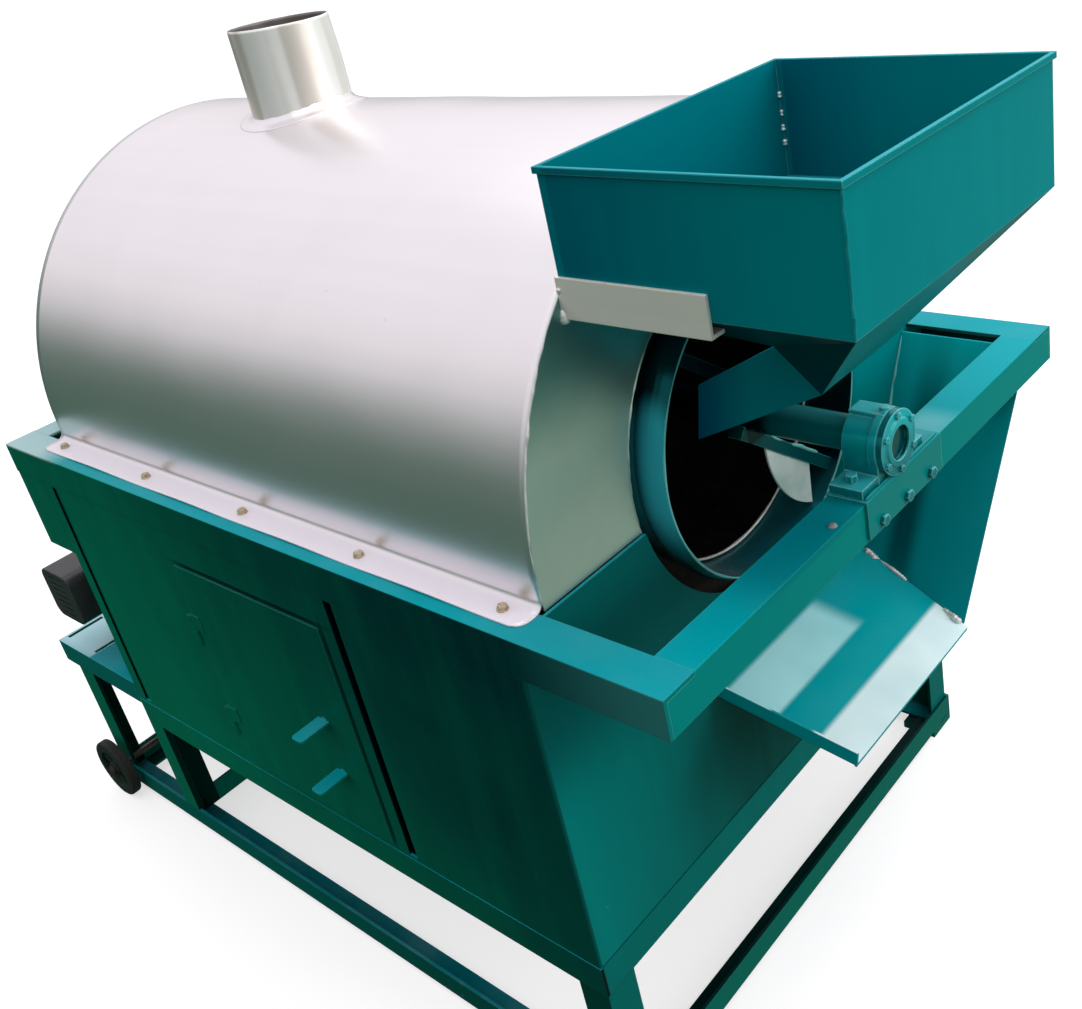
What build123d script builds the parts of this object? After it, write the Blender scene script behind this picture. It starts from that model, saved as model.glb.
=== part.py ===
from build123d import *
import math
import os

# Nut roasting machine: a horizontal drum over a fire box, on a welded angle-iron stand with two wheels.
# Frame: +X runs along the drum axis towards the hopper and the discharge chute, +Z is up, the floor is
# Z = 0, and the origin is under the middle of the overall length and width. The fire door is at -Y.
# All sizes are in millimetres.

os.makedirs("parts", exist_ok=True)

# Stand: rim of steel angle, legs, rails, sills
rim_length = 1376.0
rim_width = 900.0
rim_height = 795.0
hopper_reach = 138.0
platform_reach = 190.0
front_overhang = 198.0
rear_overhang = 86.0
angle_leg = 50.0
angle_wall = 5.0
angle_edge_r = 1.5
ground_clearance = 250.0
sill_leg = 40.0
foot_height = 13.0
foot_size = 60.0
rear_leg_flat = 40.0

# Body sheets
sheet = 4.0
floor_sheet = 3.0
sheet_gap = 1.0
groove_width = 17.0
groove_margin = 6.0
rear_groove_inset = 35.0
front_groove_inset = 346.0
guard_depth = 190.0

# Fire door, hinges and latches
door_width = 345.0
door_bottom_gap = 12.0
door_top_gap = 58.0
door_front_inset = 384.0
door_sheet = 3.0
door_gap = 0.5
door_overlap = 15.0
door_corner_r = 4.0
hinge_r = 4.5
hinge_half = 28.0
hinge_pin_r = 2.5
hinge_spacing = 173.0
hinge_drop = 15.0
hinge_leaf = 22.0
hinge_leaf_sheet = 2.0
latch_inset = 66.0
latch_spacing = 93.0
latch_drop = 34.0
latch_tab_width = 24.0
latch_tab_sheet = 4.0
latch_tab_reach = 48.0
latch_tab_corner_r = 6.0
latch_spindle_r = 5.0
latch_cam_length = 72.0
latch_cam_width = 16.0
latch_cam_sheet = 4.0
running_fit = 0.08

# Hood, chimney
hood_inset = 6.0
hood_rise = 36.0
hood_sheet = 2.0
hood_flange = 38.0
hood_setback = 7.0
hood_rear_inset = 4.0
hood_bolt_count = 5
hood_bolt_inset = 44.5
hood_bolt_af = 10.0
hood_bolt_head = 4.5
hood_bolt_r = 3.0
hood_bolt_hole_r = 3.5
hood_bolt_grip = 14.0
hood_washer_r = 7.0
hood_washer_sheet = 1.4
chimney_r = 75.0
chimney_wall = 2.0
chimney_height = 125.0
chimney_rear_inset = 331.0
flue_margin = 1.0
collar_r = 96.0
collar_sheet = 3.0

# Drum
axis_rise = 45.0
drum_r = 330.0
drum_wall = 3.0
drum_plate = 4.0
drum_rear_inset = 36.0
mouth_setback = 47.0
neck_r = 206.0
neck_wall = 3.0
neck_length = 70.0
band_width = 44.0
band_height = 6.5
mouth_gap = 18.5
shaft_r = 22.0
spoke_depth = 20.0
spoke_width = 17.0
spoke_bite = 2.0
spoke_tail = 26.0
spoke_gap = 15.0
spoke_turn = -37.5
scoop_sheet = 3.0
scoop_setback = 2.0
scoop_start = 36.0
scoop_end = 150.0
scoop_tip_turn = -62.5
scoop_belly_r = 138.0
scoop_belly_turn = -75.0
flight_rows = 4
flight_count = 4
flight_length = 150.0
flight_height = 62.0
flight_sheet = 4.0
flight_lean = 25.0
flight_margin = 110.0

# Bearings
bracket_sheet = 4.0
bracket_length = 180.0
bracket_offset = 15.0
bracket_drop = 46.0
bracket_bolt_pitch = 59.0
bracket_bolt_drop = 35.0
housing_r = 36.0
housing_length = 46.0
housing_flange_r = 40.0
housing_flange = 10.0
bush_r = 29.0
bush_length = 36.0
bearing_foot_length = 144.0
bearing_foot_width = 44.0
bearing_foot = 12.0
foot_bolt_pitch = 112.0
cover_sheet = 9.0
cover_cap_r = 21.0
cover_recess = 4.0
shaft_end_gap = 2.0
bearing_bolt_af = 13.0
bearing_bolt_head = 5.5
bearing_bolt_r = 4.0
bearing_bolt_hole_r = 4.5
bearing_bolt_grip = 16.0
foot_bolt_head = 10.0
cover_bolt_count = 6
cover_bolt_r = 2.5
cover_bolt_af = 8.0
cover_bolt_head = 4.0
cover_ring_r = 29.0
cover_ring_rise = 2.5
oil_boss_r = 6.0
oil_boss_rise = 8.0
top_rib_width = 26.0
top_rib_rise = 3.0

# Chain drive
chain_pitch = 19.05
drum_teeth = 38
drive_teeth = 15
tooth_depth = 6.5
tooth_rise = 3.25
tooth_gap = 5.3
tooth_tip_width = 4.6
sprocket_thick = 10.0
hub_r = 36.0
hub_length = 11.0
chain_plate = 2.0
chain_plate_height = 14.0
chain_side_gap = 0.8
chain_pin_r = 3.0
pin_skip_count = 2
chain_gap_front = 20.0
drive_y = -150.0
drive_rise = 135.0
drive_shaft_r = 14.0

# Motor, gearbox and their platform
platform_rise = 33.0
platform_sheet = 5.0
platform_flange = 40.0
platform_leg_inset = 30.0
platform_leg_depth = 36.0
motor_r = 44.0
motor_fin = 6.0
motor_fin_sheet = 2.5
motor_fin_count = 24
motor_flange_r = 60.0
motor_flange = 12.0
motor_foot_width = 90.0
motor_pedestal_width = 44.0
motor_foot_length = 70.0
motor_foot = 10.0
motor_near_inset = 2.0
cowl_lap = 1.0
end_shield = 8.0
cowl_length = 66.0
cowl_corner_r = 20.0
cowl_wall = 2.0
cowl_slot = 4.0
cowl_slot_count = 7
terminal_box_size = 64.0
terminal_box_height = 24.0
gland_r = 8.0
gland_length = 14.0
gearbox_width = 110.0
gearbox_length = 150.0
gearbox_height = 200.0
gearbox_corner_r = 14.0
gearbox_top_r = 7.0
gearbox_base = 14.0
gearbox_base_lip = 16.0
gearbox_boss_r = 34.0
gearbox_boss = 40.0
gearbox_gap = 45.0
slot_length = 70.0
slot_width = 9.0
slot_rear_inset = 11.0
slot_pitch_x = 103.0
slot_inset_y = 50.0

# Wheels
axle_gap = 1.0
wheel_width = 18.5
wheel_gap = 10.5
axle_inset = 36.0
tyre_depth = 13.0
tyre_round = 4.0
rim_depth = 7.0
wheel_hub_r = 15.0
wheel_spokes = 5
wheel_spoke_width = 11.0
wheel_spoke_thick = 10.0
axle_r = 6.5
axle_end = 6.5
collar_outer_r = 11.0
axle_collar = 4.0

# Hopper and spout
hopper_width = 421.0
hopper_offset = -64.5
hopper_wall_height = 141.0
hopper_sheet = 2.0
hopper_gap = 2.0
hem_out = 3.0
hem_height = 7.0
outlet_width = 150.0
outlet_rear_inset = 185.0
outlet_front_inset = 132.0
outlet_rear_drop = 88.0
outlet_front_drop = 136.0
spout_sheet = 2.0
spout_stand_off = 3.0
spout_end_lean = 13.0
spout_clear = 18.0
spout_side_height = 72.0
hopper_bracket_height = 45.0
hopper_bracket_leg = 21.0
hopper_bracket_sheet = 4.0
hopper_bracket_length = 189.0
hopper_bracket_lap = 28.0
hopper_bracket_drop = 28.0

# Discharge chute
chute_drop = 290.0
chute_fall = 34.0
chute_reach = 200.0
chute_near_rear = 154.0
chute_far_rear = 224.0
chute_near_front = 150.0
chute_far_front = 152.0
chute_sheet = 3.0
chute_upstand = 18.0
chute_lip = 5.0
cheek_top_inset = 15.0
cheek_top_drop = 7.0
cheek_sheet = 3.0

# Fire grate
grate_length = 520.0
grate_width = 420.0
grate_bar = 14.0
grate_bar_count = 11
grate_height = 80.0

# Levels and faces worked out from the sizes above
overall_length = rim_length + hopper_reach + platform_reach
rim_front = overall_length / 2 - hopper_reach
rim_rear = rim_front - rim_length
half_width = rim_width / 2
rim_under = rim_height - angle_wall
rim_bottom = rim_height - angle_leg
body_front = rim_front - front_overhang
body_rear = rim_rear + rear_overhang
post_front = body_front - angle_wall
post_rear = body_rear + angle_wall
post_face = half_width - angle_wall
panel_face = post_face + sheet
rail_top = ground_clearance + angle_leg
sill_floor = foot_height + angle_wall
platform_rear = rim_rear - platform_reach
platform_top = rail_top + platform_rise
axis_z = rim_height + axis_rise
hood_r = half_width - angle_leg - hood_inset
hood_front = body_front - hood_setback
hood_rear = body_rear + hood_rear_inset
hood_centre_z = rim_height + hood_rise
mouth_hole_r = neck_r + band_height + mouth_gap
drum_front = body_front - mouth_setback
drum_rear = hood_rear + drum_rear_inset
neck_front = drum_front + neck_length


def slab(low, high, mode=Mode.ADD):
    """Adds the box between two opposite corners to the part being built."""
    with Locations(tuple((a + b) / 2 for a, b in zip(low, high))):
        Box(*(b - a for a, b in zip(low, high)), mode=mode)


def rod_x(x0, x1, y, z, radius, mode=Mode.ADD):
    """Adds a round bar along X."""
    with Locations(Location(((x0 + x1) / 2, y, z), (0, 90, 0))):
        Cylinder(radius, x1 - x0, mode=mode)


def rod_y(y0, y1, x, z, radius, mode=Mode.ADD):
    """Adds a round bar along Y."""
    with Locations(Location((x, (y0 + y1) / 2, z), (90, 0, 0))):
        Cylinder(radius, y1 - y0, mode=mode)


def rod_z(z0, z1, x, y, radius, mode=Mode.ADD):
    """Adds a round bar along Z."""
    with Locations((x, y, (z0 + z1) / 2)):
        Cylinder(radius, z1 - z0, mode=mode)


def polar(radius, degrees):
    """Gives the plane coordinates of a point at a radius and an angle."""
    return (radius * math.cos(math.radians(degrees)), radius * math.sin(math.radians(degrees)))


# Top rim: side rails of angle with the flat on top, the upright leg outside
hood_bolt_y = hood_r + hood_flange / 2
hood_bolt_pitch = (hood_front - hood_rear - 2 * hood_bolt_inset) / (hood_bolt_count - 1)
hood_bolt_xs = [hood_rear + hood_bolt_inset + k * hood_bolt_pitch for k in range(hood_bolt_count)]
with BuildPart() as rim_sides:
    for side in (-1, 1):
        outer = side * half_width
        slab((rim_rear, min(outer, outer - side * angle_leg), rim_under),
             (rim_front, max(outer, outer - side * angle_leg), rim_height))
        slab((rim_rear, min(outer, outer - side * angle_wall), rim_bottom),
             (rim_front, max(outer, outer - side * angle_wall), rim_under))
        for x in hood_bolt_xs:
            rod_z(rim_under, rim_height, x, side * hood_bolt_y, hood_bolt_hole_r, Mode.SUBTRACT)
    outer_edges = rim_sides.edges().filter_by(Axis.X).group_by(Axis.Z)[-1]
    fillet(outer_edges.group_by(Axis.Y)[0] + outer_edges.group_by(Axis.Y)[-1], angle_edge_r)
rim_sides.part.label = "rim_sides"
export_step(rim_sides.part, "parts/rim_sides.step")

# Top rim: end rails between the side rails, the front one drilled for the bearing
bracket_bolt_ys = [bracket_offset + k * bracket_bolt_pitch for k in (-1, 0, 1)]
bracket_bolt_z = rim_height - bracket_bolt_drop
bearing_mid_x = rim_front - angle_leg / 2
with BuildPart() as rim_ends:
    for side, face in ((1, rim_front), (-1, rim_rear)):
        inner = face - side * angle_leg
        inside = face - side * angle_wall
        slab((min(face, inner), angle_leg - half_width, rim_under),
             (max(face, inner), half_width - angle_leg, rim_height))
        slab((min(face, inside), -post_face, rim_bottom), (max(face, inside), post_face, rim_under))
        for y in (-foot_bolt_pitch / 2, foot_bolt_pitch / 2):
            rod_z(rim_under, rim_height, face - side * angle_leg / 2, y, bearing_bolt_hole_r, Mode.SUBTRACT)
    for y in bracket_bolt_ys:
        rod_x(rim_front - angle_wall, rim_front, y, bracket_bolt_z, bearing_bolt_hole_r, Mode.SUBTRACT)
    top_edges = rim_ends.edges().filter_by(Axis.Y).group_by(Axis.Z)[-1]
    fillet(top_edges.group_by(Axis.X)[0] + top_edges.group_by(Axis.X)[-1], angle_edge_r)
rim_ends.part.label = "rim_ends"
export_step(rim_ends.part, "parts/rim_ends.step")


def corner_posts(x_face, x_side, z_low, z_high, flat=angle_leg, depth=angle_leg):
    """Adds a near and a far upright of angle with its corner at x_face: flat along x_side, depth inward."""
    for side in (-1, 1):
        face = side * post_face
        slab((min(x_face, x_face + x_side * flat), min(face, face - side * angle_wall), z_low),
             (max(x_face, x_face + x_side * flat), max(face, face - side * angle_wall), z_high))
        slab((min(x_face, x_face + x_side * angle_wall), min(face, face - side * depth), z_low),
             (max(x_face, x_face + x_side * angle_wall), max(face, face - side * depth), z_high))


# Corner legs: they stand in the sills and reach up into the rim
with BuildPart() as front_legs:
    corner_posts(post_front, -1, sill_floor, rim_under)
front_legs.part.label = "front_legs"
export_step(front_legs.part, "parts/front_legs.step")

# Rear legs: below the bottom rail a strap brings each leg flush with the rail and the sill
with BuildPart() as rear_legs:
    corner_posts(post_rear, 1, sill_floor, rim_under, flat=rear_leg_flat)
    for side in (-1, 1):
        outer = side * half_width
        slab((body_rear, min(outer, side * post_face), foot_height + sill_leg),
             (post_rear + rear_leg_flat, max(outer, side * post_face), ground_clearance))
rear_legs.part.label = "rear_legs"
export_step(rear_legs.part, "parts/rear_legs.step")

# Bottom rails of the body: upright flanges outside, flat flanges inward under the floor
with BuildPart() as bottom_side_rails:
    for side in (-1, 1):
        outer = side * half_width
        slab((body_rear, min(outer, side * post_face), ground_clearance),
             (body_front, max(outer, side * post_face), rail_top))
        slab((post_rear + angle_leg, min(outer, outer - side * angle_leg), ground_clearance),
             (post_front - angle_leg, max(outer, outer - side * angle_leg), ground_clearance + angle_wall))
bottom_side_rails.part.label = "bottom_side_rails"
export_step(bottom_side_rails.part, "parts/bottom_side_rails.step")

with BuildPart() as bottom_end_rails:
    for face, inside, side in ((body_front, post_front, -1), (body_rear, post_rear, 1)):
        slab((min(face, inside), -post_face, ground_clearance), (max(face, inside), post_face, rail_top))
        slab((min(face, face + side * angle_leg), angle_leg - post_face, ground_clearance),
             (max(face, face + side * angle_leg), post_face - angle_leg, ground_clearance + angle_wall))
bottom_end_rails.part.label = "bottom_end_rails"
export_step(bottom_end_rails.part, "parts/bottom_end_rails.step")

# Floor sills: the legs stand on their flat flanges
platform_leg_rear = platform_rear + platform_leg_inset
with BuildPart() as side_sills:
    for side in (-1, 1):
        outer = side * half_width
        slab((platform_leg_rear, min(outer, side * post_face), foot_height),
             (body_front, max(outer, side * post_face), foot_height + sill_leg))
        slab((platform_leg_rear, min(side * post_face, outer - side * sill_leg), foot_height),
             (body_front, max(side * post_face, outer - side * sill_leg), sill_floor))
side_sills.part.label = "side_sills"
export_step(side_sills.part, "parts/side_sills.step")

with BuildPart() as cross_sills:
    half_span = half_width - sill_leg
    slab((post_front, -post_face, sill_floor), (body_front, post_face, foot_height + sill_leg))
    slab((body_front - sill_leg, -half_span, foot_height), (body_front, half_span, sill_floor))
    slab((body_rear, -post_face, sill_floor), (post_rear, post_face, foot_height + sill_leg))
    slab((post_rear - sill_leg, -half_span, foot_height), (post_rear, half_span, sill_floor))
    leg_span = post_face - platform_leg_depth
    slab((platform_leg_rear, -leg_span, sill_floor),
         (platform_leg_rear + angle_wall, leg_span, foot_height + sill_leg))
    slab((platform_leg_rear, -half_span, foot_height), (platform_leg_rear + sill_leg, half_span, sill_floor))
cross_sills.part.label = "cross_sills"
export_step(cross_sills.part, "parts/cross_sills.step")

# Foot pads under the front corners
with BuildPart() as foot_pads:
    for side in (-1, 1):
        outer = side * half_width
        slab((body_front - foot_size, min(outer, outer - side * foot_size), 0),
             (body_front, max(outer, outer - side * foot_size), foot_height))
foot_pads.part.label = "foot_pads"
export_step(foot_pads.part, "parts/foot_pads.step")

# Side panels: sheets on the outside of the legs, with two upright gaps each
panel_rear = body_rear + sheet_gap
panel_front = body_front - sheet_gap
groove_xs = (body_rear + rear_groove_inset, body_front - front_groove_inset)
groove_z = (rail_top + rim_bottom) / 2
groove_height = rim_bottom - rail_top - 2 * groove_margin
door_right = body_front - door_front_inset
door_mid_x = door_right - door_width / 2
door_bottom = rail_top + door_bottom_gap
door_height = rim_bottom - door_top_gap - door_bottom
door_mid_z = door_bottom + door_height / 2
with BuildPart() as near_panel:
    with BuildSketch(Plane.XZ.offset(post_face)):
        with Locations(((panel_rear + panel_front) / 2, (rail_top + rim_bottom) / 2)):
            Rectangle(panel_front - panel_rear, rim_bottom - rail_top)
        with Locations(*((x, groove_z) for x in groove_xs)):
            Rectangle(groove_width, groove_height, mode=Mode.SUBTRACT)
        with Locations((door_mid_x, door_mid_z)):
            Rectangle(door_width - 2 * door_overlap, door_height - 2 * door_overlap, mode=Mode.SUBTRACT)
    extrude(amount=sheet)
near_panel.part.label = "near_panel"
export_step(near_panel.part, "parts/near_panel.step")

with BuildPart() as far_panel:
    with BuildSketch(Plane.XZ.offset(-panel_face)):
        with Locations(((panel_rear + panel_front) / 2, (rail_top + rim_bottom) / 2)):
            Rectangle(panel_front - panel_rear, rim_bottom - rail_top)
        with Locations(*((x, groove_z) for x in groove_xs)):
            Rectangle(groove_width, groove_height, mode=Mode.SUBTRACT)
    extrude(amount=sheet)
far_panel.part.label = "far_panel"
export_step(far_panel.part, "parts/far_panel.step")

# Front panel: up to the rim top between the rim flats, with a round cut for the drum mouth
with BuildPart() as front_panel:
    with BuildSketch(Plane.YZ.offset(post_front)):
        for half, low, high in ((post_face, rail_top, rim_under),
                                (half_width - angle_leg, rim_under, rim_height)):
            with Locations((0, (low + high) / 2)):
                Rectangle(2 * half, high - low)
        with Locations((0, axis_z)):
            Circle(mouth_hole_r, mode=Mode.SUBTRACT)
    extrude(amount=sheet)
front_panel.part.label = "front_panel"
export_step(front_panel.part, "parts/front_panel.step")

# Rear panel: closes the fire box behind
with BuildPart() as rear_panel:
    slab((post_rear - sheet, -post_face, rail_top), (post_rear, post_face, rim_under))
rear_panel.part.label = "rear_panel"
export_step(rear_panel.part, "parts/rear_panel.step")

# Body floor: rests on the flat flanges of the bottom rails, notched round the legs
floor_low = ground_clearance + angle_wall
with BuildPart() as body_floor:
    slab((post_rear, -post_face, floor_low), (post_front, post_face, floor_low + floor_sheet))
    for x_low, x_high in ((post_rear, post_rear + rear_leg_flat), (post_front - angle_leg, post_front)):
        for side in (-1, 1):
            y_in = side * (post_face - angle_leg)
            slab((x_low, min(side * post_face, y_in), floor_low),
                 (x_high, max(side * post_face, y_in), floor_low + floor_sheet), Mode.SUBTRACT)
body_floor.part.label = "body_floor"
export_step(body_floor.part, "parts/body_floor.step")

# Rear guard: a folded sheet under the rear overhang of the rim
guard_bottom = rim_height - guard_depth
guard_rear = rim_rear + sheet_gap
with BuildPart() as rear_guard:
    slab((guard_rear, -panel_face, guard_bottom), (body_rear, panel_face, rim_bottom))
    slab((guard_rear + sheet, -post_face, guard_bottom), (body_rear, post_face, rim_bottom), Mode.SUBTRACT)
rear_guard.part.label = "rear_guard"
export_step(rear_guard.part, "parts/rear_guard.step")

# Fire grate: bars on two runners that stand on the body floor
grate_floor = floor_low + floor_sheet
with BuildPart() as fire_grate:
    for side in (-1, 1):
        y_mid = side * (grate_width - grate_bar) / 2
        slab((-grate_length / 2, y_mid - grate_bar / 2, grate_floor),
             (grate_length / 2, y_mid + grate_bar / 2, grate_floor + grate_height))
    for k in range(grate_bar_count):
        x_mid = (k / (grate_bar_count - 1) - 0.5) * (grate_length - grate_bar)
        slab((x_mid - grate_bar / 2, -grate_width / 2, grate_floor + grate_height - grate_bar),
             (x_mid + grate_bar / 2, grate_width / 2, grate_floor + grate_height))
fire_grate.part.label = "fire_grate"
export_step(fire_grate.part, "parts/fire_grate.step")

# Fire door: an overlay plate, drilled for the latch spindles
door_face = panel_face + door_gap + door_sheet
latch_x = door_right - latch_inset
latch_mid_z = door_mid_z - latch_drop
latch_zs = (latch_mid_z + latch_spacing / 2, latch_mid_z - latch_spacing / 2)
with BuildPart() as fire_door:
    with BuildSketch(Plane.XZ.offset(panel_face + door_gap)):
        with Locations((door_mid_x, door_mid_z)):
            RectangleRounded(door_width, door_height, door_corner_r)
        with Locations(*((latch_x, z) for z in latch_zs)):
            Circle(latch_spindle_r + running_fit, mode=Mode.SUBTRACT)
    extrude(amount=door_sheet)
fire_door.part.label = "fire_door"
export_step(fire_door.part, "parts/fire_door.step")

# Hinges: a pintle welded to the panel, and a barrel with a leaf on the door above it
door_left = door_right - door_width
hinge_x = door_left - hinge_r - sheet_gap
hinge_y = -(panel_face + hinge_r + door_gap)
hinge_mid_z = door_mid_z - hinge_drop
hinge_zs = (hinge_mid_z - hinge_spacing / 2, hinge_mid_z + hinge_spacing / 2)
with BuildPart() as hinge_pintles:
    for z in hinge_zs:
        rod_z(z - hinge_half, z - door_gap, hinge_x, hinge_y, hinge_r)
        rod_z(z - door_gap, z + hinge_half, hinge_x, hinge_y, hinge_pin_r)
        slab((hinge_x - hinge_r / 2, hinge_y, z - hinge_half),
             (hinge_x + hinge_r / 2, -panel_face, z - door_gap))
hinge_pintles.part.label = "hinge_pintles"
export_step(hinge_pintles.part, "parts/hinge_pintles.step")

with BuildPart() as door_hinge_barrels:
    for z in hinge_zs:
        rod_z(z, z + hinge_half, hinge_x, hinge_y, hinge_r)
        slab((hinge_x, -door_face - hinge_leaf_sheet, z),
             (hinge_x + hinge_leaf, -door_face, z + hinge_half))
        rod_z(z, z + hinge_half, hinge_x, hinge_y, hinge_pin_r + running_fit, Mode.SUBTRACT)
door_hinge_barrels.part.label = "door_hinge_barrels"
export_step(door_hinge_barrels.part, "parts/door_hinge_barrels.step")

# Latches: a flat tab on a spindle through the door, with a cam that turns behind the panel
cam_face = post_face - sheet_gap
for latch_name, latch_z in zip(("latch_upper", "latch_lower"), latch_zs):
    with BuildPart() as latch:
        rod_y(-door_face - door_gap, -(cam_face - latch_cam_sheet), latch_x, latch_z, latch_spindle_r)
        slab((latch_x - latch_tab_width / 2, -door_face - latch_tab_reach, latch_z - latch_tab_sheet / 2),
             (latch_x + latch_tab_width / 2, -door_face - door_gap, latch_z + latch_tab_sheet / 2))
        tab_corners = latch.edges().filter_by(Axis.Z).group_by(Axis.Y)[0]
        fillet(tab_corners, latch_tab_corner_r)
        slab((latch_x - latch_cam_width / 2, -cam_face, latch_z - latch_cam_length),
             (latch_x + latch_cam_width / 2, -cam_face + latch_cam_sheet, latch_z + latch_cam_width / 2))
    latch.part.label = latch_name
    export_step(latch.part, f"parts/{latch_name}.step")

# Hood: a half-round shell on straight skirts, with flanges on the rim and a hole for the chimney
hood_in = hood_r - hood_sheet
hood_out = hood_r + hood_flange
flange_top = rim_height + hood_sheet
chimney_x = hood_rear + chimney_rear_inset
with BuildPart() as hood_shell:
    with BuildSketch(Plane.YZ.offset(hood_rear + hood_sheet)):
        with BuildLine():
            Polyline((-hood_r, hood_centre_z), (-hood_r, flange_top), (-hood_out, flange_top),
                     (-hood_out, rim_height), (-hood_in, rim_height), (-hood_in, hood_centre_z))
            ThreePointArc((-hood_in, hood_centre_z), (0, hood_centre_z + hood_in), (hood_in, hood_centre_z))
            Polyline((hood_in, hood_centre_z), (hood_in, rim_height), (hood_out, rim_height),
                     (hood_out, flange_top), (hood_r, flange_top), (hood_r, hood_centre_z))
            ThreePointArc((hood_r, hood_centre_z), (0, hood_centre_z + hood_r), (-hood_r, hood_centre_z))
        make_face()
    extrude(amount=hood_front - hood_rear - 2 * hood_sheet)
    for side in (-1, 1):
        for x in hood_bolt_xs:
            rod_z(rim_height, flange_top, x, side * hood_bolt_y, hood_bolt_hole_r, Mode.SUBTRACT)
    flue_hole_r = chimney_r - chimney_wall + flue_margin
    rod_z(hood_centre_z, hood_centre_z + 2 * hood_r, chimney_x, 0, flue_hole_r, Mode.SUBTRACT)
hood_shell.part.label = "hood_shell"
export_step(hood_shell.part, "parts/hood_shell.step")


def hood_end(hole_r):
    """Gives the outline of a hood end plate with a round hole on the drum axis."""
    with BuildSketch(Plane.YZ) as outline:
        with BuildLine():
            Polyline((-hood_r, hood_centre_z), (-hood_r, rim_height),
                     (hood_r, rim_height), (hood_r, hood_centre_z))
            ThreePointArc((hood_r, hood_centre_z), (0, hood_centre_z + hood_r), (-hood_r, hood_centre_z))
        make_face()
        with Locations((0, axis_z)):
            Circle(hole_r, mode=Mode.SUBTRACT)
    return outline.sketch


# Hood end plates: the front one leaves the drum mouth open
with BuildPart() as hood_front_plate:
    extrude(hood_end(mouth_hole_r).moved(Location((hood_front - hood_sheet, 0, 0))), amount=hood_sheet)
hood_front_plate.part.label = "hood_front_plate"
export_step(hood_front_plate.part, "parts/hood_front_plate.step")

with BuildPart() as hood_rear_plate:
    extrude(hood_end(hub_r).moved(Location((hood_rear, 0, 0))), amount=hood_sheet)
hood_rear_plate.part.label = "hood_rear_plate"
export_step(hood_rear_plate.part, "parts/hood_rear_plate.step")

# Hood bolts with washers, through the flange and the rim
with BuildPart() as hood_bolts:
    for side in (-1, 1):
        for x in hood_bolt_xs:
            bolt_y = side * hood_bolt_y
            rod_z(flange_top, flange_top + hood_washer_sheet, x, bolt_y, hood_washer_r)
            rod_z(flange_top - hood_bolt_grip, flange_top, x, bolt_y, hood_bolt_r)
            with BuildSketch(Plane.XY.offset(flange_top + hood_washer_sheet)):
                with Locations((x, bolt_y)):
                    RegularPolygon(hood_bolt_af / 2, 6, major_radius=False)
            extrude(amount=hood_bolt_head)
hood_bolts.part.label = "hood_bolts"
export_step(hood_bolts.part, "parts/hood_bolts.step")

# Chimney: a pipe stub that stands on the hood, with a saddle collar round its foot
hood_crown = hood_centre_z + hood_r
with BuildPart() as chimney:
    rod_z(hood_centre_z, hood_crown + chimney_height, chimney_x, 0, chimney_r)
    rod_z(hood_centre_z, hood_crown + chimney_height, chimney_x, 0, chimney_r - chimney_wall, Mode.SUBTRACT)
    rod_x(hood_rear, hood_front, 0, hood_centre_z, hood_r, Mode.SUBTRACT)
chimney.part.label = "chimney"
export_step(chimney.part, "parts/chimney.step")

with BuildPart() as chimney_collar:
    rod_z(hood_centre_z, hood_crown + collar_r, chimney_x, 0, collar_r)
    rod_x(hood_rear, hood_front, 0, hood_centre_z, hood_r + collar_sheet, Mode.INTERSECT)
    rod_x(hood_rear, hood_front, 0, hood_centre_z, hood_r, Mode.SUBTRACT)
    rod_z(hood_centre_z, hood_crown + collar_r, chimney_x, 0, chimney_r, Mode.SUBTRACT)
chimney_collar.part.label = "chimney_collar"
export_step(chimney_collar.part, "parts/chimney_collar.step")

# Drum: shell with a flat plate at each end
drum_in = drum_r - drum_wall
neck_in = neck_r - neck_wall
with BuildPart() as drum_shell:
    rod_x(drum_rear + drum_plate, drum_front - drum_plate, 0, axis_z, drum_r)
    rod_x(drum_rear + drum_plate, drum_front - drum_plate, 0, axis_z, drum_in, Mode.SUBTRACT)
drum_shell.part.label = "drum_shell"
export_step(drum_shell.part, "parts/drum_shell.step")

with BuildPart() as drum_front_plate:
    rod_x(drum_front - drum_plate, drum_front, 0, axis_z, drum_r)
    rod_x(drum_front - drum_plate, drum_front, 0, axis_z, neck_in, Mode.SUBTRACT)
drum_front_plate.part.label = "drum_front_plate"
export_step(drum_front_plate.part, "parts/drum_front_plate.step")

with BuildPart() as drum_rear_plate:
    rod_x(drum_rear, drum_rear + drum_plate, 0, axis_z, drum_r)
    rod_x(drum_rear, drum_rear + drum_plate, 0, axis_z, shaft_r, Mode.SUBTRACT)
drum_rear_plate.part.label = "drum_rear_plate"
export_step(drum_rear_plate.part, "parts/drum_rear_plate.step")

# Drum mouth: a short neck with a rolled band round its front edge
band_rear = neck_front - band_width
band_mid = neck_front - band_width / 2
with BuildPart() as drum_mouth:
    with BuildSketch(Plane.XZ):
        with BuildLine():
            Polyline((band_rear, axis_z + neck_r), (drum_front, axis_z + neck_r),
                     (drum_front, axis_z + neck_in), (neck_front, axis_z + neck_in),
                     (neck_front, axis_z + neck_r))
            ThreePointArc((neck_front, axis_z + neck_r), (band_mid, axis_z + neck_r + band_height),
                          (band_rear, axis_z + neck_r))
        make_face()
    revolve(axis=Axis((0, 0, axis_z), (1, 0, 0)))
drum_mouth.part.label = "drum_mouth"
export_step(drum_mouth.part, "parts/drum_mouth.step")

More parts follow.
